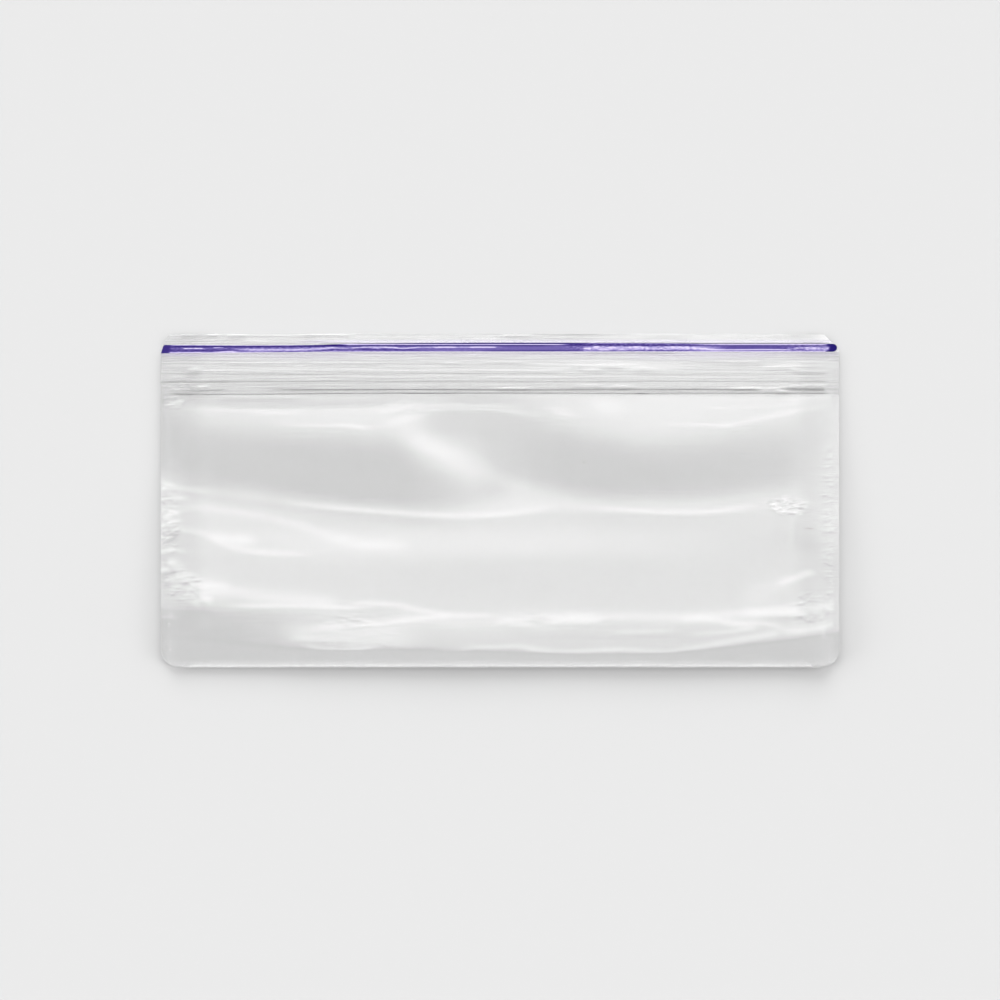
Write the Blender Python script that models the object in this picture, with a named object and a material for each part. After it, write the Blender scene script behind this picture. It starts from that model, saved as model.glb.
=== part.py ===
"""Clear resealable bag, empty and pressed shut, lying flat on its back.

Three pieces: the film body (front and back film, side welds, bottom fold and lips as one closed form), the
coloured press-seal strip and the clear press-seal strip. +Z is up. The origin is the centre of the bag's
footprint on the surface it lies on. +X runs along the bag's width and +Y from the bottom fold to the lips.

All sizes are in millimetres, and slab() turns them into metres. x is measured from the middle of the bag, y
from the bottom fold and z from the surface.
"""

import math

import bmesh
import bpy

MM = 0.001

# Driving dimensions
BAG_WIDTH = 168.0
BAG_HEIGHT = 82.6
BOTTOM_CORNER_RADIUS = 4.6
LIP_START = 79.6
LIP_CHAMFER = 2.4
LIP_ROUNDING = 1.2
ZIP_START = 67.6  # foot of the ribbed zip band

# Film heights
LIP_TOP = 0.85
BAND_LOW = 0.1  # under the welds of the zip band and the lips
BAND_RUN = 8.0  # how far below the zip band the welds take to come down to it
FOLD_LOW = 0.5
FOLD_TOP = 1.3
WELD_SHARE = 0.7  # of the film's height, left at a side weld
WELD_THICKNESS = 0.5
SIDE_NOSE = 4.0  # how far in from a side weld the front film reaches its full height
BACK_NOSE = 8.0  # the same for the back film
FOLD_NOSE = 2.2  # the same, in from the bottom fold

# Press-seal strips: lower edge and upper edge of each, and how the strips are built
CLEAR_STRIP = (68.3, 71.2)
COLOUR_STRIP = (78.1, 80.4)
FILM_UNDER_STRIP = 0.3
GAP = 0.32  # round and under a strip
WALL = 0.1  # run of the steep wall of a strip's groove
STRIP_RISE = 0.12  # of a strip's ridges over the film beside them
STRIP_VALLEY = 0.15  # depth of the valley between the ridges
STRIP_SHOULDER = 0.12  # drop at a strip's two long edges
CLEAR_STRIP_INSET = 2.9
COLOUR_STRIP_CRUSH = 2.4  # length of each flattened end
COLOUR_STRIP_FLAT = 0.3  # thickness of a flattened end
COLOUR_STRIP_LEAN = 0.5
COLOUR_STRIP_ROUNDING = 0.5
COLOUR_STRIP_SHORT = 0.4  # from the right-hand weld
STRIP_VALLEY_SHARE = 0.55  # of a strip's width, taken up by the valley
STRIP_ROWS = (0.0, 0.07, 0.22, 0.42, 0.58, 0.78, 0.93, 1.0)  # shares of a strip's width
STRIP_COLUMNS = 16

# Ribs of the zip band
RIBS = (73.2, 75.6)
RIB_WIDTH = 1.0
RIB_RISE = 0.12
RIB_FLANK = 1.3  # foot of a rib over its top

# How finely the film body is divided
MIDDLE_COLUMNS = 34
EDGE_COLUMNS = (0.0, 0.5, 1.3, 2.6, 4.0, 6.0, 8.5)  # distances in from each side weld
ROW_ZONES = (  # upper end of each zone up the bag, with the number of rows in it
    (FOLD_NOSE, 4),
    (16.0, 9),
    (34.0, 6),
    (46.0, 10),
    (54.0, 3),
    (ZIP_START, 9),
)

# Lines across the bag where the slope of the front film changes, from the lips down. Each has its (x, y)
# points, the width over which the corner is rounded, and (x, slope) pairs: the rise per millimetre towards the
# bottom fold that holds below it.
TERRACES = (
    (((-84, 83), (84, 83)), 0.1, ((-84, 0.02), (84, 0.045))),
    (((-84, ZIP_START), (84, ZIP_START)), 0.2, ((-84, 0.03), (-15, 0.035), (10, 0.053), (84, 0.055))),
    (((-84, 66), (-68, 59.5), (-37, 57), (-17, 61.3), (0, 64), (18, 59), (40, 56), (84, 61.3)), 1.0,
     ((-84, -0.01), (84, -0.014))),
    (((-84, 47.4), (-64, 43.4), (-37, 40), (-10, 39), (10, 42), (40, 41.5), (84, 46.9)), 0.8,
     ((-84, 0.07), (84, 0.065))),
    (((-84, 45.4), (-54, 40.5), (-25, 37.4), (-5, 37), (24, 38.5), (52, 38), (84, 41.5)), 0.4,
     ((-84, 0.033), (84, 0.031))),
    (((-84, 14.9), (-52, 14.2), (-25, 11.2), (-12, 9.7), (84, 9.7)), 0.5,
     ((-84, -0.014), (-42, 0.0), (-25, 0.03), (84, 0.028))),
    (((-84, 6.8), (-50, 4.3), (7, 3.5), (38, 3.3), (56, 5.5), (84, 8.3)), 0.5, ((-84, -0.09), (84, -0.09))),
)

# The slanting fold between shoulder and ridge: its rising flank runs along the spine
DIAGONAL_SPINE = ((-26, 59), (-14, 53.4), (0, 46.6), (10, 43.4))
DIAGONAL_SLOPE = 0.062
DIAGONAL_FLANK = 2.6  # half the width of the rising flank
DIAGONAL_RUN = 9.0  # how far the film takes to settle below it
DIAGONAL_FADE = 12.0


def smooth_step(value):
    """0 below 0, 1 above 1, with level ends between."""
    t = min(max(value, 0.0), 1.0)
    return t * t * (3.0 - 2.0 * t)


def quarter_round(distance, reach):
    """The height, 0 to 1, of a rounded edge at a distance in from it."""
    t = min(max(distance / reach, 0.0), 1.0)
    return math.sqrt(1.0 - (1.0 - t) ** 2)


def soft_corner(distance, softness):
    """A ramp that is 0 before the corner and grows by 1 per unit past it, rounded over the softness."""
    return softness * math.log1p(math.exp(-abs(distance) / softness)) + max(distance, 0.0)


def along(points, x):
    """The value at x of the line through (x, value) points."""
    if x <= points[0][0]:
        return points[0][1]
    for (x0, v0), (x1, v1) in zip(points, points[1:]):
        if x <= x1:
            return v0 + (v1 - v0) * smooth_step((x - x0) / (x1 - x0))
    return points[-1][1]


def diagonal(x, y):
    """The height that the slanting fold adds."""
    past = along(DIAGONAL_SPINE, x) - y
    rise = DIAGONAL_SLOPE * DIAGONAL_FLANK * (math.tanh(past / DIAGONAL_FLANK) + 1.0)
    settle = 1.0 - smooth_step((past - DIAGONAL_FLANK) / DIAGONAL_RUN)
    start = smooth_step((x - DIAGONAL_SPINE[0][0]) / DIAGONAL_FADE + 0.5)
    end = smooth_step((DIAGONAL_SPINE[-1][0] - x) / DIAGONAL_FADE + 0.5)
    return rise * settle * start * end


def relief(x, y):
    """The height of the front film away from the edges, ribs and strips left out."""
    height = LIP_TOP + diagonal(x, y)
    before = 0.0
    for line, softness, slopes in TERRACES:
        slope = along(slopes, x)
        height += (slope - before) * soft_corner(along(line, x) - y, softness)
        before = slope
    return height


def left_side(y):
    """The left end of the bag at a height along it."""
    inward = LIP_CHAMFER * min(max((y - LIP_START) / (BAG_HEIGHT - LIP_START), 0.0), 1.0)
    if y < BOTTOM_CORNER_RADIUS:
        inward = BOTTOM_CORNER_RADIUS * (1.0 - quarter_round(y, BOTTOM_CORNER_RADIUS))
    return -BAG_WIDTH / 2 + inward


def right_side(y):
    """The right end of the bag at a height along it."""
    inward = LIP_ROUNDING * (1.0 - quarter_round(BAG_HEIGHT - y, LIP_ROUNDING))
    if y < BOTTOM_CORNER_RADIUS:
        inward = BOTTOM_CORNER_RADIUS * (1.0 - quarter_round(y, BOTTOM_CORNER_RADIUS))
    return BAG_WIDTH / 2 - inward


def from_side(x, y):
    """The distance in from the nearer side weld."""
    return min(x - left_side(y), right_side(y) - x)


def in_groove(x, y):
    """Whether a point lies in the groove of a press-seal strip."""
    low, high = CLEAR_STRIP
    in_clear = low - GAP < y < high + GAP and abs(x) < BAG_WIDTH / 2 - CLEAR_STRIP_INSET + GAP
    low, high = COLOUR_STRIP
    return in_clear or low - GAP < y < high + GAP


def film_top(x, y):
    """The upper face of the film body."""
    if in_groove(x, y):
        return FILM_UNDER_STRIP
    height = relief(x, y)
    if any(abs(y - rib) < RIB_WIDTH / 2 for rib in RIBS):
        height += RIB_RISE
    height *= WELD_SHARE + (1.0 - WELD_SHARE) * quarter_round(from_side(x, y), SIDE_NOSE)
    return FOLD_TOP + (height - FOLD_TOP) * quarter_round(y, FOLD_NOSE)


def film_low(x, y):
    """The lower face of the film body: level where it lies on the surface, lifted at the edges."""
    welded = max(relief(x, y) * WELD_SHARE - WELD_THICKNESS, BAND_LOW)
    welded = BAND_LOW + (welded - BAND_LOW) * smooth_step((ZIP_START - y) / BAND_RUN)
    height = welded * (1.0 - smooth_step(from_side(x, y) / BACK_NOSE))
    return height + (FOLD_LOW - height) * (1.0 - quarter_round(y, FOLD_NOSE))


def film_rows():
    """Heights along the bag of the rows of the film body, close together where its form changes."""
    rows = [0.0]
    for top, count in ROW_ZONES:
        start = rows[-1]
        rows += [start + (top - start) * (i + 1) / count for i in range(count)]
    for low, high in (CLEAR_STRIP, COLOUR_STRIP):
        rows += [low - GAP - WALL, low - GAP + WALL / 10, high + GAP - WALL / 10, high + GAP + WALL]
    for rib in RIBS:
        rows += [rib + side * RIB_WIDTH / 2 * scale for side in (-1, 1) for scale in (0.9, RIB_FLANK)]
    rows += [BAG_HEIGHT - LIP_ROUNDING * share for share in (0.9, 0.5, 0.2, 0.0)]
    return sorted(rows)


def film_columns():
    """Shares of the bag's width, 0 to 1, of the columns of the film body."""
    groove_end = CLEAR_STRIP_INSET - GAP
    near = sorted(EDGE_COLUMNS + (groove_end - WALL / 2, groove_end + WALL / 2))
    start, stop = near[-1], BAG_WIDTH - near[-1]
    middle = [start + (stop - start) * i / MIDDLE_COLUMNS for i in range(1, MIDDLE_COLUMNS)]
    places = near + middle + [BAG_WIDTH - distance for distance in reversed(near)]
    return [place / BAG_WIDTH for place in places]


def slab(name, columns, rows, left, right, top, low):
    """A closed sheet: a flat grid is extruded once, and its two faces then take their heights.

    columns are shares of the width, 0 to 1, and rows are heights along the bag. left and right give the ends
    of a row, and top and low the two faces' heights at a place.
    """
    shape = bmesh.new()
    bmesh.ops.create_grid(shape, x_segments=len(columns) - 1, y_segments=len(rows) - 1, size=1.0)
    across = sorted({round(vert.co.x, 5) for vert in shape.verts})
    upwards = sorted({round(vert.co.y, 5) for vert in shape.verts})
    for vert in shape.verts:
        share = columns[across.index(round(vert.co.x, 5))]
        y = rows[upwards.index(round(vert.co.y, 5))]
        x = left(y) + (right(y) - left(y)) * share
        vert.co = (x, y, low(x, y))
    raised = bmesh.ops.extrude_face_region(shape, geom=shape.faces[:], use_keep_orig=True)
    for item in raised["geom"]:
        if isinstance(item, bmesh.types.BMVert):
            item.co.z = top(item.co.x, item.co.y)
    for vert in shape.verts:
        vert.co.y -= BAG_HEIGHT / 2
        vert.co *= MM
    bmesh.ops.recalc_face_normals(shape, faces=shape.faces[:])
    mesh = bpy.data.meshes.new(name)
    shape.to_mesh(mesh)
    shape.free()
    mesh.shade_smooth()
    mesh.set_sharp_from_angle(angle=math.radians(35))
    return bpy.data.objects.new(name, mesh)


def film_body():
    """Front and back film with their welds, the bottom fold, the zip band and the lips."""
    return slab("film_bag", film_columns(), film_rows(), left_side, right_side, film_top, film_low)


def strip_rows(strip):
    """Heights along the bag of the rows of a press-seal strip."""
    low, high = strip
    return [low + (high - low) * share for share in STRIP_ROWS]


def strip_top(x, y, strip):
    """The upper face of a press-seal strip: two ridges with a shallow valley between, proud of the film."""
    low, high = strip
    from_middle = abs((y - low) / (high - low) - 0.5) * 2.0
    height = relief(x, (low + high) / 2) + STRIP_RISE
    height -= STRIP_VALLEY * smooth_step(1.0 - from_middle / STRIP_VALLEY_SHARE)
    if y in (low, high):
        height -= STRIP_SHOULDER
    return height


def clear_strip():
    """The clear press-seal strip, which stops short of the side welds."""
    half = BAG_WIDTH / 2 - CLEAR_STRIP_INSET
    columns = [i / STRIP_COLUMNS for i in range(STRIP_COLUMNS + 1)]
    return slab("closure_clear", columns, strip_rows(CLEAR_STRIP), lambda y: -half, lambda y: half,
                lambda x, y: strip_top(x, y, CLEAR_STRIP), lambda x, y: FILM_UNDER_STRIP + GAP)


def colour_strip():
    """The coloured press-seal strip: full width, with both ends crushed flat in the side welds."""
    low, high = COLOUR_STRIP
    half = BAG_WIDTH / 2
    floor = FILM_UNDER_STRIP + GAP
    crush = COLOUR_STRIP_CRUSH / BAG_WIDTH
    near = [0.0, crush * 0.4, crush * 0.8, crush, crush * 1.5]
    middle = [i / STRIP_COLUMNS for i in range(1, STRIP_COLUMNS)]
    columns = near + middle + [1.0 - share for share in reversed(near)]

    def top(x, y):
        flat = 1.0 - smooth_step((half - abs(x) - COLOUR_STRIP_CRUSH * 0.8) / (COLOUR_STRIP_CRUSH * 0.5))
        height = strip_top(x, y, COLOUR_STRIP)
        return height + (floor + COLOUR_STRIP_FLAT - height) * flat

    def left(y):
        return -half + COLOUR_STRIP_LEAN * (y - low) / (high - low)

    def right(y):
        from_middle = abs(2.0 * (y - low) / (high - low) - 1.0)
        return half - COLOUR_STRIP_SHORT - COLOUR_STRIP_ROUNDING * from_middle ** 3

    return slab("closure_colour", columns, strip_rows(COLOUR_STRIP), left, right, top, lambda x, y: floor)


def material(name, colour, roughness, alpha=1.0):
    """A plastic with one colour."""
    made = bpy.data.materials.new(name)
    made.use_nodes = True
    shader = made.node_tree.nodes["Principled BSDF"]
    shader.inputs["Base Color"].default_value = (*colour, 1.0)
    shader.inputs["Roughness"].default_value = roughness
    shader.inputs["Metallic"].default_value = 0.0
    shader.inputs["Alpha"].default_value = alpha
    return made


def main():
    """Builds the bag's three pieces in their collection."""
    for thing in list(bpy.data.objects):
        bpy.data.objects.remove(thing)
    bag = bpy.data.collections.new("resealable_bag")
    bpy.context.scene.collection.children.link(bag)
    clear_film = material("clear_polyethylene_film", (0.9, 0.91, 0.92), 0.12, 0.35)
    violet = material("violet_polyethylene", (0.09, 0.06, 0.32), 0.25)
    clear_plastic = material("clear_polyethylene_rib", (0.84, 0.85, 0.86), 0.15, 0.5)
    for part, finish in ((film_body(), clear_film), (colour_strip(), violet), (clear_strip(), clear_plastic)):
        part.data.materials.append(finish)
        bag.objects.link(part)


main()
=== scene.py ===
"""Clear resealable bag, empty and pressed shut, lying flat on its back.

Front film, back film, side welds, lips, ribbed zip band and the two press-seal strips are modelled round the
CAD frame. Sizes are in millimetres: x from the middle of the bag, y up from the bottom fold, z up from the
surface it lies on.
"""

import logging
from dataclasses import dataclass, field
from enum import Enum

import bpy
import numpy as np
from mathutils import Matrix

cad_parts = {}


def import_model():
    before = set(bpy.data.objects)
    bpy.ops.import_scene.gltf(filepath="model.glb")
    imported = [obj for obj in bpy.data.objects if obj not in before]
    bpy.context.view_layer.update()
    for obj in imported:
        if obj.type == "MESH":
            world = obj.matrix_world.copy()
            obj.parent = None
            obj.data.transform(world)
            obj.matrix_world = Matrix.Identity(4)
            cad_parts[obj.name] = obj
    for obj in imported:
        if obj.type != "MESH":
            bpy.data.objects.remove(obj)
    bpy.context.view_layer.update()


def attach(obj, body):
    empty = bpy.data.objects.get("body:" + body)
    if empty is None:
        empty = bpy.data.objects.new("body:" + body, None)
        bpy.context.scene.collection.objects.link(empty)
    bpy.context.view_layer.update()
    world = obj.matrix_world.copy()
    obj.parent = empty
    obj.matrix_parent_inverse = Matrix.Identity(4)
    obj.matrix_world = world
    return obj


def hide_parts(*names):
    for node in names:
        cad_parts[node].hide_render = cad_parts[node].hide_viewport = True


log = logging.getLogger("resealable_bag")

MM = 0.001
SHARP_ANGLE = 0.7  # radians; the film's rim stays crisp and everything else is shaded smooth
HALF_WIDTH = 84.0  # from the middle of the bag to a weld, where the lines across it end
LIFT_MEAN, LIFT_VARIES = 0.7, 0.3  # a crease's height as shares of the highest one's
SCHLICK_POWER = 5.0  # how late towards grazing a clear face turns into a mirror
PATCH_END, PATCH_FADE = 1.15, 0.45  # where creases end and how they fade, as shares of a patch's reach
Points = tuple[tuple[float, float], ...]


class Node(Enum):
    """The CAD nodes that the pieces stand for, each with its material slot."""

    FILM = ("film_bag", "clear_film")
    COLOUR = ("closure_colour", "violet_strip")
    CLEAR = ("closure_clear", "clear_strip")


# --- Numbers along curves -----------------------------------------------------------------------------


def smooth_step(value: np.ndarray) -> np.ndarray:
    """0 below 0, 1 above 1, with level ends between."""
    t = np.clip(value, 0.0, 1.0)
    return t * t * (3.0 - 2.0 * t)


def quarter_round(distance: np.ndarray, reach: float) -> np.ndarray:
    """The share of its full height, 0 to 1, that a rounded edge has at a distance in from it."""
    t = np.clip(distance / reach, 0.0, 1.0)
    return np.sqrt(1.0 - (1.0 - t) ** 2)


def soft_corner(distance: np.ndarray, softness: float) -> np.ndarray:
    """A ramp that is 0 before the corner and grows by 1 per unit past it, rounded over the softness."""
    return softness * np.logaddexp(0.0, distance / softness)


def along(points: Points, x: np.ndarray) -> np.ndarray:
    """A smooth line through points.

    Args:
        points: (x, value) pairs in order of x.
        x: Places to read it at; past either end the end's value holds.

    Returns:
        The value at each x.
    """
    xs = np.array([point[0] for point in points])
    values = np.array([point[1] for point in points])
    grades = np.diff(values) / np.diff(xs)
    slopes = np.concatenate([grades[:1], (grades[:-1] + grades[1:]) / 2, grades[-1:]])
    x = np.clip(x, xs[0], xs[-1])
    i = np.clip(np.searchsorted(xs, x, side="right") - 1, 0, len(xs) - 2)
    span = xs[i + 1] - xs[i]
    t = (x - xs[i]) / span
    rise = values[i + 1] - values[i]
    bend = (1.0 - t) * t * ((1.0 - t) * (slopes[i] * span - rise) - t * (slopes[i + 1] * span - rise))
    return values[i] + t * rise + bend


def level(value: float) -> Points:
    """The same value from weld to weld."""
    return ((-HALF_WIDTH, value), (HALF_WIDTH, value))


def window(points: Points, fade: tuple[float, float], x: np.ndarray) -> np.ndarray:
    """1 between the ends of a line, fading to 0 past its left and right ends."""
    left, right = fade
    start = smooth_step((x - points[0][0] + left / 2) / left)
    return start * smooth_step((points[-1][0] + right / 2 - x) / right)


# --- The form of the front film -----------------------------------------------------------------------


@dataclass(frozen=True)
class Terrace:
    """A line across the bag where the slope of the film changes.

    Args:
        name: What it is.
        line: Its (x, y) points, left to right.
        softness: How far the change is rounded.
        slopes: (x, slope) from the line down to the next one, as rise per millimetre towards the bottom fold.
    """

    name: str
    line: Points
    softness: float
    slopes: Points


@dataclass(frozen=True)
class Fold:
    """A fold with a rising flank towards the lips and a long way down on its other side.

    Args:
        name: What it is.
        spine: The middle of its rising flank, left to right.
        slope: How steep that flank is.
        above: Half the width of the flank on the side of the lips.
        below: Half the width on the side of the bottom fold.
        run: How far the film takes to settle again below it.
        fade: How far it takes to die out at its left and right ends.
    """

    name: str
    spine: Points
    slope: float
    above: float
    below: float
    run: float
    fade: tuple[float, float] = (6.0, 6.0)

    def height(self, x: np.ndarray, y: np.ndarray) -> np.ndarray:
        """The height that the fold adds to the film."""
        past = along(self.spine, x) - y
        reach = np.where(past < 0.0, self.above, self.below)
        rise = self.slope * (reach * np.tanh(past / reach) + self.above)
        settle = 1.0 - smooth_step((past - self.below) / self.run)
        return rise * settle * window(self.spine, self.fade, x)


@dataclass(frozen=True)
class Streak:
    """A narrow band along the bag where the plastic is thicker.

    Args:
        name: What it is.
        line: The (x, y) points along its middle, left to right.
        half_width: Half its width.
        amount: How much it adds; below 0, it takes away.
        fade: How far it takes to die out at its left and right ends.
    """

    name: str
    line: Points
    half_width: float
    amount: float
    fade: tuple[float, float] = (4.0, 4.0)

    def strength(self, x: np.ndarray, y: np.ndarray) -> np.ndarray:
        """How much the streak adds at each place."""
        across = np.exp(-(((along(self.line, x) - y) / self.half_width) ** 2))
        return self.amount * across * window(self.line, self.fade, x)


def total(streaks: tuple[Streak, ...], x: np.ndarray, y: np.ndarray) -> np.ndarray:
    """The sum of several streaks."""
    return sum((streak.strength(x, y) for streak in streaks), np.zeros(np.broadcast(x, y).shape))


@dataclass(frozen=True)
class Crumple:
    """A patch of small creases, as where a weld has shrunk the film.

    Args:
        name: Where it is.
        middle: (x, y) of the patch.
        spread: How far the creases lie from it, across and up.
        size: Half the width and half the height of one crease.
        lift: How high the highest crease stands.
        count: How many creases there are.
        seed: Seed of their places and heights.
        tail: How many times longer a crease is on the side of the bottom fold.
    """

    name: str
    middle: tuple[float, float]
    spread: tuple[float, float]
    size: tuple[float, float]
    lift: float
    count: int
    seed: int
    tail: float = 4.0

    def height(self, x: np.ndarray, y: np.ndarray) -> np.ndarray:
        """The height that the creases add to the film."""
        random = np.random.default_rng(self.seed)
        height = np.zeros(np.broadcast(x, y).shape)
        for _ in range(self.count):
            along_x, along_y, lift = random.uniform(-1.0, 1.0, 3)
            from_x = (x - self.middle[0] - self.spread[0] * along_x) / self.size[0]
            from_y = (y - self.middle[1] - self.spread[1] * along_y) / self.size[1]
            from_y = np.where(from_y < 0.0, from_y / self.tail, from_y)
            height = height + self.lift * (LIFT_MEAN + LIFT_VARIES * lift) * np.exp(-(from_x**2) - from_y**2)
        return height


@dataclass(frozen=True)
class Patch:
    """A round patch of the film that is finely creased.

    Args:
        name: Where it is.
        middle: (x, y) of the patch.
        reach: How far it reaches across and up.
        amount: How deeply it is creased, from 0 to 1.
    """

    name: str
    middle: tuple[float, float]
    reach: tuple[float, float]
    amount: float

    def strength(self, x: np.ndarray, y: np.ndarray) -> np.ndarray:
        """How creased the film is at each place because of the patch."""
        away = np.hypot((x - self.middle[0]) / self.reach[0], (y - self.middle[1]) / self.reach[1])
        return self.amount * smooth_step((PATCH_END - away) / PATCH_FADE)


# From the lips down to the bottom fold.
TERRACES = (
    Terrace("lip edge", level(83), 0.1,
            ((-84, 0.018), (-60, 0.030), (-45, 0.045), (-20, 0.042), (0, 0.038), (20, 0.030), (35, 0.058),
             (68, 0.058), (80, 0.075))),
    Terrace("seal top", ((-84, 80.1), (-49, 80.35), (84, 80.4)), 0.1, level(0.02)),
    Terrace("seal foot", ((-84, 77.9), (-42, 78.1), (84, 78.1)), 0.1,
            ((-84, 0.016), (-60, 0.026), (0, 0.03), (20, 0.034), (60, 0.032), (84, 0.018))),
    Terrace("panel rise", level(75.8), 0.2,
            ((-84, 0.028), (-60, 0.033), (-20, 0.033), (5, 0.038), (20, 0.055), (42, 0.058), (50, 0.036),
             (60, 0.034), (74, 0.05), (84, 0.048))),
    Terrace("panel fall", level(73.8), 0.15, ((-84, 0.03), (-60, 0.028), (0, 0.037), (84, 0.038))),
    Terrace("press top", level(71.1), 0.15,
            ((-84, 0.014), (-60, 0.014), (-40, 0.02), (0, 0.028), (20, 0.03), (55, 0.035), (84, 0.03))),
    Terrace("press ridge", level(69.3), 0.15, ((-84, 0.012), (84, 0.016))),
    Terrace("zip foot", level(67.6), 0.1,
            ((-84, 0.0), (-80.5, 0.021), (-74, 0.025), (-30, 0.031), (-17, 0.035), (-7, 0.028), (10, 0.053),
             (25, 0.056), (84, 0.049))),
    Terrace("shoulder start",
            ((-84, 65.7), (-62, 64.2), (-42, 64.0), (-25, 65.0), (-15, 66.5), (5, 66.7), (84, 66)), 0.3,
            ((-84, 0.02), (-79, 0.056), (-69, 0.06), (-25, 0.06), (-15, 0.035), (-7, 0.025), (5, 0.035),
             (17, 0.056), (84, 0.06))),
    Terrace("shoulder crest",
            ((-84, 64.5), (-80, 62.8), (-68, 59), (-53.5, 57.6), (-37, 56.7), (-31, 56.2), (-24, 58.2),
             (-17.5, 61.3), (-9.5, 64.2), (0, 63.8), (7, 61.6), (14, 59), (20, 57.6), (35, 55.2), (47, 55.4),
             (63, 57.8), (74, 58.6), (84, 57.6)), 2.2,
            ((-84, 0.016), (-78, 0.006), (-72, -0.004), (-60, -0.012), (-25, -0.014), (-17, 0.002),
             (-8, 0.014), (2, 0.014), (10, 0.0), (18, -0.01), (45, -0.008), (62, 0.004), (72, 0.014),
             (77, 0.044), (84, 0.06))),
    Terrace("ridge start",
            ((-84, 47.4), (-74, 44.4), (-64, 43.4), (-52, 41.7), (-37, 40), (-25, 39), (-15, 38.7), (-6, 40),
             (2, 43), (9, 44.2), (20, 42.4), (35, 41.5), (50, 41.9), (64, 43.4), (84, 46.9)), 1.5,
            ((-84, 0.07), (-25, 0.09), (5, 0.07), (35, 0.077), (84, 0.056))),
    Terrace("ridge line",
            ((-84, 45.4), (-70, 42.7), (-53.5, 40.5), (-37, 38.5), (-25, 37.4), (-9.5, 36.7), (2, 37.5),
             (13, 38.7), (24, 38.5), (35, 38.2), (52, 38), (68, 39.2), (84, 41.5)), 0.3,
            ((-84, 0.065), (-74, 0.052), (-64, 0.05), (-45, 0.049), (-25, 0.046), (0, 0.046), (60, 0.046),
             (74, 0.054), (84, 0.07))),
    Terrace("plateau top", ((-84, 35.5), (-40, 34.2), (10, 34.3), (84, 33.5)), 0.8,
            ((-84, 0.052), (-70, 0.054), (-57, 0.06), (-40, 0.066), (-15, 0.066), (20, 0.06), (45, 0.05),
             (70, 0.042), (84, 0.054))),
    Terrace("plateau foot", ((-84, 28.5), (-40, 27.2), (10, 27.6), (84, 28)), 0.8,
            ((-84, 0.044), (-30, 0.046), (0, 0.042), (84, 0.044))),
    Terrace("lower start", ((-84, 18.7), (84, 15.9)), 1.6,
            ((-84, 0.046), (-25, 0.052), (68, 0.052), (77, 0.06), (84, 0.05))),
    Terrace("lower ridge",
            ((-84, 14.1), (-68, 13.9), (-52, 13.5), (-40, 13.1), (-25, 11.2), (-12, 9.7), (84, 9.7)), 0.7,
            ((-84, -0.01), (-74, -0.006), (-62, 0.016), (-50, 0.028), (-40, 0.046), (-30, 0.056), (66, 0.058),
             (77, 0.062), (84, 0.046))),
    Terrace("bottom strip",
            ((-84, 6.8), (-50, 4.3), (-17, 4.3), (7, 3.5), (38, 3.3), (57, 4.9), (72, 6.6), (80, 7.9),
             (84, 8.1)), 0.4, level(-0.09)),
)

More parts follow.
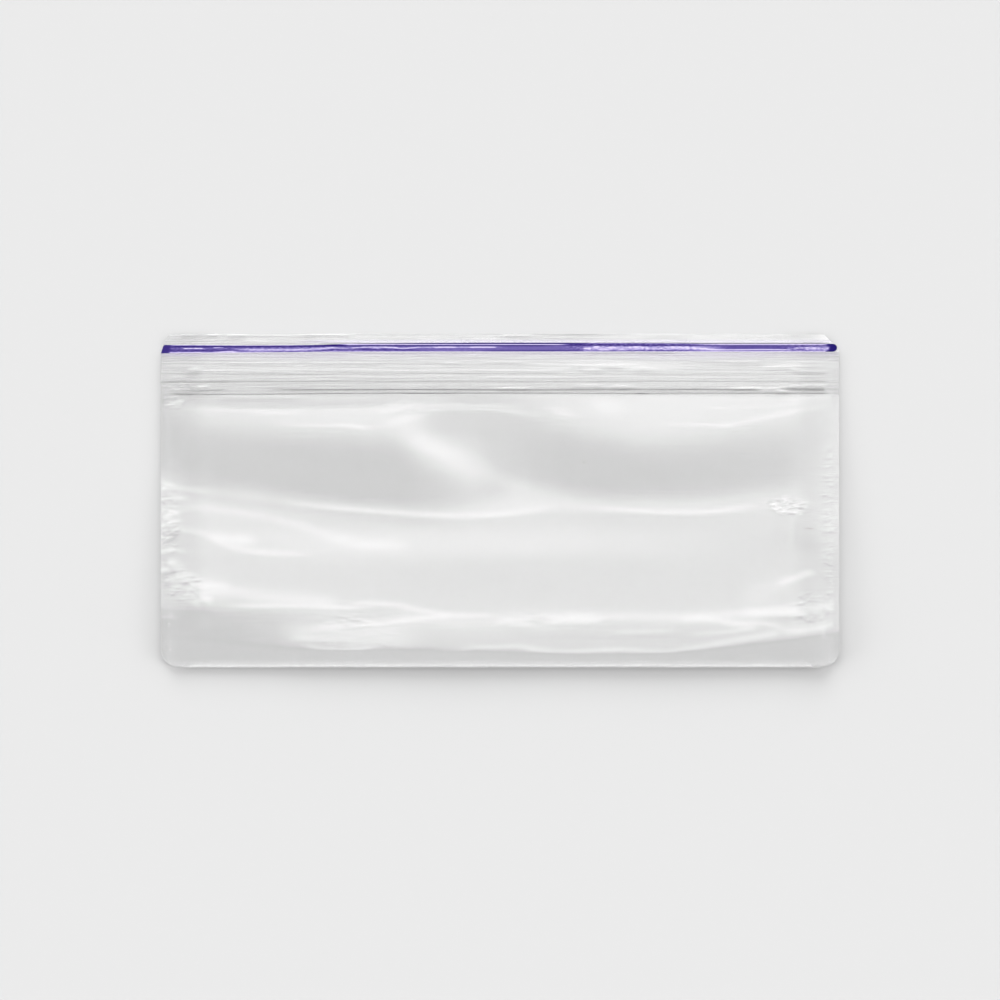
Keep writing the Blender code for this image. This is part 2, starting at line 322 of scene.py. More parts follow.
# Folds of the film below the zip band, from the shoulder down, then left and right welds.
FOLDS = (
    Fold("diagonal", ((-26, 57.8), (-21.8, 56.2), (-15.6, 53.5), (-7.4, 50.1), (-4, 48.7)), 0.048, 5.2, 5.4,
         200, (10, 8)),
    Fold("diagonal tail", ((-5, 48.4), (-1, 46.7), (3, 45.2), (7, 44)), 0.024, 2.6, 1.6, 200, (8, 8)),
    Fold("diagonal core", ((-21.5, 56.5), (-16.5, 54.4), (-10, 51.2)), 0.035, 2.8, 2.6, 200, (5, 10)),
    Fold("shoulder glint left a", ((-60.7, 63.3), (-54.5, 63), (-49.6, 63.3)), 0.03, 0.25, 0.25, 22, (4, 4)),
    Fold("shoulder glint left b", ((-75.6, 64), (-63.2, 63.6), (-42.1, 64), (-24.8, 64)), 0.018, 0.3, 0.3, 22,
         (8, 8)),
    Fold("shoulder glint left c", ((-53.3, 60.3), (-47.1, 60), (-38.4, 60), (-32.2, 59.3)), 0.03, 0.3, 0.3,
         22, (6, 3)),
    Fold("shoulder glint left d", ((-40.1, 60.3), (-36.7, 59.8), (-32.7, 59)), 0.03, 0.35, 0.3, 22, (3, 3)),
    Fold("shoulder knot", ((-29.7, 63), (-27.3, 64.2), (-24.3, 65.5)), 0.045, 0.4, 0.4, 22, (3, 3)),
    Fold("shoulder knot lower", ((-29.7, 59.5), (-25.3, 60.8), (-20.3, 62)), 0.03, 0.6, 0.4, 33, (4, 4)),
    Fold("shoulder line a", ((-23.5, 64.2), (-19.3, 64.7), (-14.9, 65), (5, 64.7)), 0.03, 0.3, 0.3, 22,
         (6, 6)),
    Fold("shoulder line b", ((-18.6, 63.5), (-14.9, 64), (-7.4, 64), (0, 63.8), (8.7, 62.5)), 0.03, 0.5, 0.4,
         33, (6, 8)),
    Fold("shoulder line top left", ((-69.4, 67), (-42.1, 66.7), (-27.3, 66.7)), 0.02, 0.2, 0.2, 16, (10, 8)),
    Fold("shoulder glint middle a", ((9.4, 64.2), (12.9, 64.2), (16.1, 64)), 0.02, 0.4, 0.3, 22, (5, 5)),
    Fold("shoulder glint middle b", ((13.9, 63.3), (16.1, 62.8), (17.8, 62.3)), 0.04, 0.6, 0.5, 22, (3, 3)),
    Fold("shoulder spot", ((23.3, 65), (25.8, 64.7), (30.2, 64)), 0.035, 1, 0.9, 40, (3, 5)),
    Fold("shoulder line right a", ((40.9, 60.3), (47.1, 60.3), (54.5, 60), (58.2, 59.8)), 0.03, 0.3, 0.3, 22,
         (6, 4)),
    Fold("shoulder line right b", ((54.5, 59.8), (60.7, 60.8), (65.7, 61.8), (70.6, 63), (80.5, 64.7)), 0.03,
         0.7, 0.5, 33, (6, 4)),
    Fold("shoulder line right c", ((49.6, 64.5), (60.7, 64.5), (71.9, 65.2), (80.5, 66.2)), 0.015, 0.3, 0.3,
         16, (10, 6)),
    Fold("shoulder line right top", ((34.7, 66.7), (54.5, 66.5), (71.9, 66.5), (81.3, 67)), 0.02, 0.2, 0.2,
         16, (10, 4)),
    Fold("ridge glint left", ((-84.2, 46.2), (-80.5, 44.7), (-73.1, 43.4)), 0.03, 0.5, 0.4, 22, (2, 5)),
    Fold("ridge glint", ((-49.6, 40.2), (-38.4, 39.2), (-24.8, 38.2), (-9.9, 37.5), (3.7, 38)), 0.035, 0.6,
         0.25, 50, (12, 10)),
    Fold("ridge glint middle", ((-1.2, 37.7), (5, 38.6), (11.1, 39.5)), 0.03, 0.5, 0.4, 50, (5, 5)),
    Fold("ridge glint right",
         ((24.8, 39.5), (33.7, 38.7), (41.9, 38.2), (51.3, 38.4), (56.7, 39), (62.4, 40)), 0.03, 0.5, 0.25,
         50, (8, 5)),
    Fold("second band",
         ((-79.8, 39.5), (-74.3, 39.5), (-66.2, 38.5), (-57.7, 37.2), (-50, 35.3), (-42.1, 32.8)), 0.022, 1,
         0.9, 60, (5, 8)),
    Fold("blob", ((-42.1, 32), (-37.9, 31.2), (-33.9, 30.4), (-30.2, 30.3), (-24.8, 30.1)), 0.045, 1.1, 0.8,
         60, (6, 8)),
    Fold("lens lower",
         ((-82.8, 36), (-79.3, 34.3), (-73.8, 33), (-71.1, 31.8), (-67.1, 29.8), (-62.9, 28.8), (-57, 28.1),
          (-49.6, 27.8)), 0.035, 0.9, 0.35, 60, (3, 8)),
    Fold("leaf", ((-71.4, 32.3), (-67.4, 31.8), (-61.2, 31.3)), 0.045, 1.2, 0.9, 60, (2.5, 2.5)),
    Fold("left crinkle e", ((-84.2, 28.3), (-81.5, 29.1), (-77.8, 28.6)), 0.04, 0.3, 0.25, 20, (1, 2)),
    Fold("left wedge", ((-84.2, 12.5), (-81.8, 12.5), (-79.8, 12.2)), 0.04, 0.7, 0.5, 16, (1, 2)),
    Fold("lower band left",
         ((-80.3, 23.4), (-73.1, 20.1), (-65.7, 18.7), (-57.7, 17.4), (-49.6, 16.7), (-39.6, 15.9)), 0.03,
         1.8, 1.5, 50, (3, 10)),
    Fold("lower line 1", ((-65.4, 15.2), (-59, 15.1), (-49.6, 15.2), (-40.9, 14.8), (-34.2, 14.7)), 0.045,
         0.5, 0.25, 22, (8, 6)),
    Fold("lower line 2",
         ((-35.9, 15.9), (-29.7, 15.7), (-24.8, 15.2), (-19.1, 13.9), (-13.6, 13.1), (-2.5, 12.7)), 0.04, 0.7,
         0.5, 33, (5, 8)),
    Fold("lower branch", ((-36.2, 10.4), (-25.8, 11.2), (-19.1, 12.2), (-12.4, 12.7)), 0.05, 0.5, 0.35, 27,
         (4, 5)),
    Fold("lower fill", ((-26, 12.2), (-17.3, 11.5), (-7.4, 11), (5, 11.2)), 0.02, 1.2, 1.2, 36, (6, 10)),
    Fold("crinkle j1", ((-45.6, 9.5), (-42.1, 10), (-39.1, 10.1)), 0.05, 0.5, 0.4, 16, (2, 2)),
    Fold("crinkle j2", ((-51, 7.1), (-48.1, 7.3), (-44.6, 7.3)), 0.06, 0.4, 0.35, 16, (2, 2)),
    Fold("crinkle j3", ((-43.6, 6.8), (-38.4, 7), (-33.7, 6.4)), 0.06, 0.35, 0.3, 11, (2, 2)),
    Fold("crinkle j4", ((-47.8, 5.4), (-45.1, 4.7), (-38.4, 4.5), (-31.7, 4.7)), 0.07, 0.45, 0.35, 16,
         (2, 3)),
    Fold("crinkle j5", ((-31.2, 6.8), (-27.8, 6.8)), 0.04, 0.3, 0.3, 11, (1.5, 1.5)),
    Fold("crinkle light", ((-53.3, 8.3), (-44.6, 8.3), (-32.2, 7.8), (-22.3, 6.8)), 0.045, 2.4, 2.2, 40,
         (8, 12)),
    Fold("streak left", ((-81.3, 8.7), (-77.8, 8.7), (-74.3, 8.5)), 0.03, 0.4, 0.4, 16, (3, 3)),
    Fold("smile left", ((-15.9, 4.3), (-11.1, 4), (-5.2, 5), (-1.2, 4.9), (4.2, 5.3), (9.9, 4.3)), 0.05, 0.45,
         0.3, 13, (3, 3)),
    Fold("smile",
         ((7.4, 4.4), (17.1, 3.8), (29.7, 4.3), (41.9, 3.9), (47.3, 4.7), (54, 6), (62.4, 7.5), (68.6, 8.5)),
         0.06, 0.5, 0.3, 13, (4, 3)),
    Fold("smile double", ((47.1, 3.9), (54, 5.3), (62.4, 6.8), (68.4, 8)), 0.035, 0.3, 0.25, 11, (4, 3)),
    Fold("lower stitch", ((0.7, 11.7), (4.8, 11.2), (10.2, 10)), 0.04, 0.4, 0.35, 16, (2, 2)),
    Fold("lower patch a", ((11.6, 11.2), (18.6, 12), (24.3, 11.7)), 0.05, 0.9, 0.7, 27, (3, 4)),
    Fold("lower shelf", ((0, 12.5), (22.3, 12.7), (45.8, 12.5), (61.9, 13.5), (74.3, 14.4)), 0.03, 1.2, 1, 45,
         (10, 6)),
    Fold("lower patch b", ((45.6, 11.7), (49.6, 12), (54, 11.6), (59.5, 10.5), (62.4, 9.9)), 0.05, 0.8, 0.5,
         22, (3, 2)),
    Fold("hairpin return", ((48.1, 8.3), (54, 8.6), (59.5, 9.2), (62.7, 9.7)), 0.035, 0.35, 0.3, 13, (4, 2)),
    Fold("hairpin outer", ((61.4, 11.2), (67.4, 10.5), (70.4, 9.4)), 0.035, 0.4, 0.35, 16, (3, 2)),
    Fold("right line upper", ((61.2, 13.3), (67.9, 13.6), (75.1, 14.1), (82.5, 15.4)), 0.045, 0.9, 0.8, 25,
         (5, 1)),
    Fold("right line lower", ((70.6, 8.7), (74.3, 9.1), (77.8, 9.6), (82.5, 10.7)), 0.05, 0.7, 0.5, 22,
         (3, 1)),
    Fold("line short", ((28.5, 8.7), (34.7, 8.9), (41.6, 9)), 0.03, 0.35, 0.3, 13, (3, 4)),
    Fold("lens dark", ((2.5, 7.8), (14.9, 7.5), (29.7, 7.5), (47.1, 7.8)), -0.01, 0.8, 0.7, 27, (8, 10)),
    Fold("lens dark right", ((64.9, 12.5), (71.9, 12), (78.8, 12)), -0.022, 0.7, 0.6, 22, (3, 2)),
    Fold("right patch", ((69.6, 20.9), (73.3, 21.9), (77.3, 23.4)), 0.045, 0.9, 0.5, 22, (2.5, 1.5)),
    Fold("right patch rim", ((74.3, 23.2), (76.3, 23.6), (78, 23.1)), 0.04, 0.35, 0.3, 13, (1.5, 1)),
    Fold("right patch wash", ((60.7, 17.2), (65.7, 19.2), (71.9, 21.6)), 0.016, 2.2, 2, 36, (5, 4)),
    Fold("right dusk", ((74.3, 30.3), (77.3, 30.1), (79.8, 29.8)), -0.012, 1.5, 1.5, 33, (5, 2)),
    Fold("left pucker a", ((-83.5, 41.7), (-80.5, 42.2), (-77.6, 41.7)), 0.05, 0.4, 0.3, 16, (1, 3)),
    Fold("left pucker b", ((-82.8, 37.2), (-81, 38), (-79, 38.5)), 0.06, 0.35, 0.3, 13, (1, 1.5)),
    Fold("left pucker c", ((-82.5, 35.8), (-81, 36.2), (-79.5, 36.7)), 0.05, 0.3, 0.3, 11, (1, 1.5)),
    Fold("left swell", ((-82, 23), (-78, 22), (-74, 19.8), (-68, 18.6)), 0.024, 3, 2.4, 60, (2, 8)),
    Fold("left chain", ((-80.3, 20.1), (-77.3, 19.4), (-74.3, 19.9), (-71.6, 20.1), (-67.4, 20.6)), 0.03, 0.4,
         0.35, 13, (1.5, 4)),
    Fold("left bit a", ((-78.3, 16.7), (-76.6, 16.2), (-74.6, 15.4)), 0.035, 0.5, 0.4, 13, (1, 1.5)),
    Fold("left bit b", ((-73.6, 17.7), (-72.6, 16.7), (-71.6, 15.7)), 0.035, 0.5, 0.4, 13, (1, 1)),
    Fold("corner pucker", ((-81.8, 65.2), (-80.3, 65.7), (-78.8, 66.2)), 0.07, 0.4, 0.35, 13, (1, 1.5)),
    Fold("right fold rise", ((71.9, 66.2), (76.3, 66.5), (81.8, 67)), 0.05, 0.4, 0.35, 13, (2, 1)),
)

# Groups of creases that stand up from the film.
CRUMPLES = (
    Crumple("right patch", (71.5, 39.4), (6.0, 1.6), (0.4, 0.9), 0.05, 24, 5, 7),
    Crumple("left weld", (-81.0, 32), (2.4, 13), (1.2, 0.45), 0.05, 18, 8),
    Crumple("left bits", (-74.8, 17.3), (3.0, 1.8), (0.5, 0.7), 0.04, 9, 21, 6),
)

# Where the film is finely creased, which its material shows.
CRINKLED = (
    Patch("right weld", (81.2, 37.2), (1.5, 23.0), 0.5),
    Patch("right end of the ridge", (71.2, 39.7), (6.2, 2.2), 0.7),
    Patch("left weld", (-81.7, 36.5), (2.6, 10.5), 0.5),
    Patch("left knot", (-78.2, 21.0), (4.8, 4.6), 0.75),
    Patch("lower left", (-36.0, 8.4), (13.0, 5.5), 0.35),
    Patch("lower right", (77.4, 14.4), (5.6, 5.0), 0.4),
    Patch("lower middle", (13.0, 11.6), (18.0, 2.6), 0.25),
    Patch("left corner of the zip", (-80.6, 65.6), (3.2, 1.7), 0.5),
    Patch("knot under the zip", (-23.5, 64.2), (7.5, 2.2), 0.3),
    Patch("left end of the zip", (-77.0, 69.4), (5.5, 1.6), 0.4),
    Patch("right end of the zip", (74.0, 69.4), (8.0, 1.4), 0.3),
)

# Small unevennesses of the lips, the ribbed panel and the clear closure.
ZIP_GLINTS = (
    Fold("lip line left", ((-78.8, 82.4), (-77.3, 82.44), (-75.8, 82.4)), 0.07, 0.15, 0.12, 1.0, (2, 3)),
    Fold("lip line left b", ((-72.8, 82.42), (-71.4, 82.45), (-69.9, 82.42)), 0.07, 0.15, 0.12, 1.0, (2, 2)),
    Fold("lip line left c", ((-67.1, 82.4), (-64.9, 82.45), (-62.9, 82.4)), 0.09, 0.15, 0.12, 1.0, (2, 3)),
    Fold("lip line", ((-49.6, 82.47), (-43.4, 82.48), (-37.2, 82.45)), 0.1, 0.14, 0.12, 1.0, (4, 4)),
    Fold("lip patch left", ((-63.4, 81.1), (-60.5, 80.97), (-57, 80.85)), 0.03, 0.35, 0.3, 1.5, (3, 3)),
    Fold("lip patch a", ((-44.4, 81.59), (-41.1, 81.47), (-38.4, 81.34)), 0.025, 0.3, 0.3, 1.5, (3, 3)),
    Fold("lip patch b", ((-19.8, 81.44), (-17.3, 81.49), (-15.4, 81.44)), 0.02, 0.3, 0.3, 1.5, (3, 3)),
    Fold("lip patch c", ((-7.4, 81.44), (-4.2, 81.49), (-0.7, 81.44)), 0.025, 0.3, 0.3, 1.5, (3, 3)),
    Fold("lip line middle", ((1.2, 82.47), (5, 82.48), (7.9, 82.47)), 0.09, 0.12, 0.12, 1.0, (3, 3)),
    Fold("lip line right", ((34.7, 82.47), (41, 82.48), (47.1, 82.47)), 0.09, 0.12, 0.12, 1.0, (6, 4)),
    Fold("lip line right b", ((66.9, 82.47), (72, 82.48), (76.8, 82.47)), 0.06, 0.12, 0.12, 1.0, (4, 2)),
    Fold("lip patch right", ((74.3, 81.1), (78, 81.34), (80.5, 81.44)), 0.04, 0.4, 0.3, 1.5, (4, 1)),
    Fold("lip shoulder", ((-42.1, 80.7), (0, 80.72), (81.3, 80.72)), 0.09, 0.2, 0.15, 0.8, (8, 2)),
    Fold("panel line a", ((-67.1, 75.5), (-59.5, 75.55), (-51.8, 75.52)), 0.05, 0.12, 0.12, 1.0, (3, 3)),
    Fold("panel line b", ((-47.1, 75.5), (-38.4, 75.55), (-29.7, 75.5)), 0.04, 0.12, 0.12, 1.0, (3, 4)),
    Fold("panel line c", ((-13.4, 75.52), (-11.9, 75.55), (-10.2, 75.52)), 0.06, 0.15, 0.12, 1.0, (2, 2)),
    Fold("panel line d", ((-5, 75.74), (1.2, 75.77), (7.4, 75.69)), 0.03, 0.15, 0.12, 1.2, (4, 4)),
    Fold("panel line e", ((54.5, 75.74), (60.7, 75.79), (64.9, 75.79)), 0.03, 0.15, 0.12, 1.0, (4, 3)),
    Fold("panel line f", ((74.3, 75.79), (78, 75.84), (81.3, 75.89)), 0.05, 0.15, 0.12, 1.0, (4, 1)),
    Fold("panel glint a", ((18.1, 75.02), (19.8, 75.07), (21.8, 75)), 0.05, 0.3, 0.25, 1.5, (3, 3)),
    Fold("panel glint b", ((24.3, 74.9), (26.8, 75.05), (31, 74.9)), 0.06, 0.35, 0.3, 1.5, (4, 5)),
    Fold("panel glint c", ((33.4, 74.31), (35.2, 74.41), (37.2, 74.31)), 0.05, 0.3, 0.25, 1.5, (3, 4)),
    Fold("panel glint d", ((19.8, 73.81), (22.3, 73.86), (25.3, 73.81)), 0.06, 0.15, 0.15, 1.2, (3, 3)),
    Fold("panel glint e", ((65.9, 74.53), (71.9, 74.83), (80.8, 75.02)), 0.035, 0.3, 0.25, 1.5, (4, 1)),
    Fold("panel glint f", ((71.9, 74.03), (74.3, 73.71), (80.8, 73.54)), 0.04, 0.25, 0.2, 1.2, (4, 1)),
    Fold("left eye", ((-77.3, 73.91), (-75.8, 74.06), (-74.1, 74.16)), 0.06, 0.35, 0.3, 2.0, (2, 2.5)),
    Fold("left eye line", ((-81.8, 74.75), (-79.3, 74.85), (-75.3, 74.65)), 0.03, 0.2, 0.15, 1.2, (2, 3)),
    Fold("panel lower line",
         ((-73.1, 73.61), (-59.5, 73.66), (-42.1, 73.76), (-24.8, 73.61), (-5, 73.71), (14.9, 73.71)), 0.03,
         0.18, 0.15, 1.2, (4, 5)),
    Fold("panel rib a", ((-4, 72.13), (0, 72.08), (14.9, 72.08), (34.7, 72.08)), 0.02, 0.2, 0.15, 1.0,
         (6, 6)),
    Fold("panel rib b", ((-43.4, 72.25), (-24.8, 72.13), (-7.4, 72.08)), 0.012, 0.25, 0.15, 1.0, (6, 6)),
    Fold("left rib", ((-81.8, 71.83), (-79.8, 71.88), (-78.3, 71.78)), 0.03, 0.15, 0.12, 1.0, (2, 2)),
    Fold("press glint a", ((-75.1, 69.5), (-74.1, 69.6), (-72.8, 69.52)), 0.07, 0.25, 0.2, 1.5, (1.5, 3)),
    Fold("press glint b", ((-81.3, 69.2), (-78.5, 68.81), (-76.3, 68.61)), 0.05, 0.25, 0.2, 1.2, (2, 1.5)),
    Fold("press glint c", ((-0.7, 69.25), (2.5, 69.3), (6.2, 69.25)), 0.06, 0.2, 0.15, 1.2, (4, 5)),
    Fold("press glint d", ((18.3, 70.04), (22.3, 70), (25.8, 69.95)), 0.035, 0.25, 0.2, 1.2, (4, 4)),
    Fold("press glint e", ((28.2, 69.8), (30.2, 69.85), (32.2, 69.75)), 0.05, 0.25, 0.2, 1.2, (2, 3)),
    Fold("press glint f", ((58, 69.2), (61.4, 69.25), (64.4, 69.3)), 0.09, 0.25, 0.2, 1.2, (4, 3)),
    Fold("press glint g", ((65.4, 68.95), (66.9, 69.2), (69.9, 69.5), (74.3, 69.85), (80.8, 69.9)), 0.05,
         0.25, 0.2, 1.5, (2, 2)),
    Fold("press glint h", ((68.4, 68.71), (69.9, 68.63), (71.4, 68.46)), 0.08, 0.25, 0.2, 1.2, (2, 2)),
    Fold("foot line", ((-68.9, 67.22), (-59.5, 67.32), (-49.6, 67.22)), 0.04, 0.25, 0.2, 1.5, (5, 5)),
)

# Painted shade: darker lines along the lip edges and the ribs of the zip band, in what the camera sees
# through the film.
PAINTED_SHADE_LINES = (
    Streak("seal foot", ((19, 77.76), (30, 77.74), (44, 77.76)), 0.1, 0.3, (6, 6)),
    Streak("lip edge", ((-49.6, 82.28), (-39.6, 82.33), (-31, 82.48), (0, 82.51), (24.8, 82.48)), 0.1, 0.3,
           (6, 10)),
    Streak("lip edge left", ((-83, 81.99), (-66.9, 81.99), (-54.5, 81.89), (-47.1, 81.84)), 0.12, 0.1,
           (4, 4)),
    Streak("lip edge right", ((14.9, 82.43), (39.6, 82.48), (84.2, 82.48)), 0.1, 0.22, (10, 1)),
    Streak("panel top", ((-84.2, 75.17), (-76.8, 75.15), (-49.6, 75.3), (5, 75.25)), 0.1, 0.12, (3, 8)),
    Streak("panel top right", ((34.7, 75.59), (49.6, 75.57), (69.4, 75.4)), 0.1, 0.1, (6, 6)),
    Streak("panel line",
           ((-84.2, 72.77), (-49.6, 72.62), (-12.4, 72.82), (14.9, 72.67), (49.6, 72.62), (81.3, 72.67)),
           0.13, 0.22, (4, 2)),
    Streak("panel lower line", ((-84.2, 71.61), (0, 71.58), (81.3, 71.63)), 0.15, 0.07, (4, 2)),
    Streak("press line",
           ((-84.2, 70.74), (-49.6, 70.84), (0, 70.79), (49.6, 70.84), (74.3, 70.84), (80.8, 70.79)), 0.16,
           0.3, (3, 2)),
    Streak("press line left", ((-84.2, 70.59), (-76.8, 70.61), (-66.9, 70.79)), 0.2, 0.1, (3, 4)),
    Streak("press ridge",
           ((-55.7, 68.76), (-39.6, 68.78), (-19.8, 68.83), (-7.4, 68.81), (5, 68.73), (24.8, 68.83),
            (49.6, 68.81), (63.7, 68.76)), 0.2, 0.5, (12, 3)),
    Streak("press ridge left", ((-79.3, 68.56), (-74.3, 68.51), (-67.9, 68.71)), 0.16, 0.4, (2, 4)),
    Streak("press ridge right", ((70.1, 69.05), (74.3, 68.9), (80.3, 68.76)), 0.32, 0.42, (3, 1)),
    Streak("press foot",
           ((-81.3, 67.72), (-74.3, 67.62), (-59.5, 67.64), (-42.1, 67.86), (-17.3, 67.91), (14.9, 67.89),
            (34.7, 67.81), (49.6, 67.86), (80.8, 67.86)), 0.14, 0.5, (3, 2)),
    Streak("press foot dark a", ((-24.8, 67.91), (-17.3, 67.91), (-11.1, 67.89)), 0.14, 0.2, (4, 4)),
    Streak("press foot dark b", ((33.9, 67.84), (34.9, 67.84), (36.2, 67.84)), 0.16, 0.4, (1, 1)),
)

# Painted violet light: a lilac tint of the film beside the violet closure, above and below it, in what the
# camera sees through it.
PAINTED_VIOLET_LIGHT = (
    Streak("bleed",
           ((-84.2, 77.5), (-66.9, 77.38), (-42.1, 77.48), (-19.8, 77.63), (14.9, 77.63), (49.6, 77.53),
            (84.2, 77.63)), 0.35, 0.18, (2, 2)),
    Streak("bleed left", ((-83, 77.38), (-78, 77.33), (-74.3, 77.28)), 0.2, 0.35, (2, 2)),
    Streak("bleed below a", ((-57, 76.76), (-49.6, 76.76), (-38.4, 76.88)), 0.6, 0.12, (6, 6)),
    Streak("bleed below b", ((32.2, 76.88), (49.6, 76.88), (66.9, 77.13)), 0.6, 0.12, (6, 8)),
    Streak("bleed above", ((-49.6, 80.7), (0, 80.75), (83.7, 80.7)), 0.35, 0.45, (8, 1)),
)

# Ribs, valleys and marks of the violet closure, as the depth of its violet. Below 0 they make pale streaks,
# gleams, glints and spots, which are painted highlights; above 0 they deepen the violet, partly for thicker
# ribs and partly as painted shade.
VIOLET_STREAKS = (
    Streak("top gleam", ((-83, 79.85), (-74, 79.82), (-64, 79.76), (-50, 79.84)), 0.08, -0.5, (1, 4)),
    Streak("left dusk", ((-80, 79.55), (-70, 79.55), (-58, 79.5)), 0.12, 0.15, (3, 5)),
    Streak("left dark end", ((-48, 79.95), (-43, 79.95), (-38, 79.8)), 0.14, 0.8, (3, 2)),
    Streak("upper rib", ((-36, 80.19), (-20, 80.19), (20, 80.19)), 0.12, 0.75, (3, 6)),
    Streak("upper rib right", ((47, 80.19), (60, 80.19), (82.7, 80.19)), 0.12, 0.65, (8, 1)),
    Streak("upper valley", ((-39, 79.96), (-34, 79.97), (0, 79.97), (16, 79.97)), 0.13, -1.2, (4, 6)),
    Streak("upper valley right", ((50, 79.97), (59.5, 79.97), (80.8, 79.97)), 0.13, -1.1, (14, 2)),
    Streak("main rib",
           ((-84.2, 79.4), (-66.9, 79.42), (-52, 79.48), (-42, 79.62), (-36, 79.72), (83.7, 79.72)), 0.15,
           0.45, (1, 1)),
    Streak("main rib middle", ((-36, 79.72), (-20, 79.72), (12, 79.72)), 0.15, 0.45, (4, 8)),
    Streak("light streak a",
           ((-42.1, 79.21), (-38.4, 79.01), (-33.4, 79.31), (-28.5, 79.31), (-24.3, 79.06), (-19.8, 79.29)),
           0.14, -0.5, (4, 3)),
    Streak("light streak b", ((-19.8, 79.3), (-11, 79.32), (-1, 79.34)), 0.15, -0.35, (4, 6)),
    Streak("glint a", ((-16.1, 79.3), (-13.9, 79.33), (-11.2, 79.3)), 0.13, -0.6, (1.5, 1.5)),
    Streak("glint b", ((-7.4, 79.3), (-4, 79.33), (-1.2, 79.3)), 0.13, -0.6, (1.5, 1.5)),
    Streak("glint c", ((-31.5, 79.06), (-30.7, 79.11), (-29.7, 79.04)), 0.12, -0.4, (1, 1)),
    Streak("glint d", ((-28.5, 79.29), (-27, 79.31), (-25.5, 79.24)), 0.12, -0.4, (1, 1)),
    Streak("lower rib", ((-58, 78.26), (-46, 78.3), (-40, 78.9), (-30, 78.7), (-20, 78.6)), 0.13, 0.3,
           (5, 6)),
    Streak("lower edge", ((-4, 78.52), (8, 78.5), (20, 78.52)), 0.12, 0.35, (8, 4)),
    Streak("lower edge right", ((24, 78.5), (36, 78.48), (48, 78.5)), 0.1, 0.3, (4, 6)),
    Streak("left light streak", ((-64.4, 78.72), (-57, 78.66), (-49.6, 78.72), (-45.1, 78.9), (-41.6, 79.15)),
           0.26, -0.42, (6, 3)),
    Streak("left glint a", ((-78.5, 78.98), (-76.1, 79.0), (-73.3, 79.0)), 0.12, -0.6, (1, 1.5)),
    Streak("left glint b", ((-79.8, 77.97), (-75.6, 77.97), (-74.3, 78.02)), 0.14, -0.5, (2, 1.5)),
    Streak("left glint c", ((-70.4, 78.02), (-68.4, 78.2), (-65.4, 78.27)), 0.14, -0.7, (2, 3)),
    Streak("left glint d", ((-70.9, 79.21), (-69.9, 79.26), (-68.6, 79.26)), 0.12, -0.5, (1, 1)),
    Streak("left deep", ((-83.3, 78.52), (-74.3, 78.52), (-64.4, 78.42)), 0.3, 0.2, (1, 6)),
    Streak("fringe",
           ((-82, 77.9), (-66.9, 78.0), (-42.1, 78.16), (-17.3, 78.2), (14.9, 78.2), (49.6, 78.22),
            (80.8, 78.26)), 0.12, -0.6, (1, 2)),
    Streak("middle light", ((21.1, 79.01), (34.7, 79.06), (54.5, 79.06)), 0.5, -0.36, (5, 6)),
    Streak("spot a", ((20.8, 78.99), (21.6, 79.04), (22.3, 78.96)), 0.15, -0.5, (0.8, 0.8)),
    Streak("spot b", ((23.3, 79.36), (24, 79.39), (24.8, 79.31)), 0.17, -0.9, (0.8, 0.8)),
    Streak("spot c", ((27, 79.24), (27.8, 79.26), (28.5, 79.19)), 0.15, -0.8, (0.8, 0.8)),
    Streak("spot d", ((24.8, 78.62), (25.8, 78.67), (27, 78.57)), 0.15, -0.6, (1, 1)),
    Streak("spot e", ((29.2, 78.62), (30, 78.67), (31.2, 78.62)), 0.13, -0.5, (1, 1)),
    Streak("spot f", ((32.2, 79.31), (33.2, 79.36), (35.2, 79.31)), 0.15, -0.9, (1, 1)),
    Streak("right light", ((41.6, 79.36), (47.1, 79.21), (49.6, 78.96), (52.5, 78.72)), 0.2, -0.3, (3, 3)),
    Streak("right deep", ((51, 79.25), (62, 79.25), (71, 79.2)), 0.3, 0.14, (4, 4)),
    Streak("right line", ((52.5, 78.67), (59.5, 78.69), (65.7, 78.74), (71.9, 78.67)), 0.12, -0.6, (4, 4)),
    Streak("right glint", ((72.3, 79.01), (74.3, 79.11), (77.3, 79.21)), 0.14, -0.4, (2, 3)),
    Streak("end glint", ((76, 78.95), (79.8, 79.0), (81.6, 78.95)), 0.4, -0.35, (3, 0.6)),
)


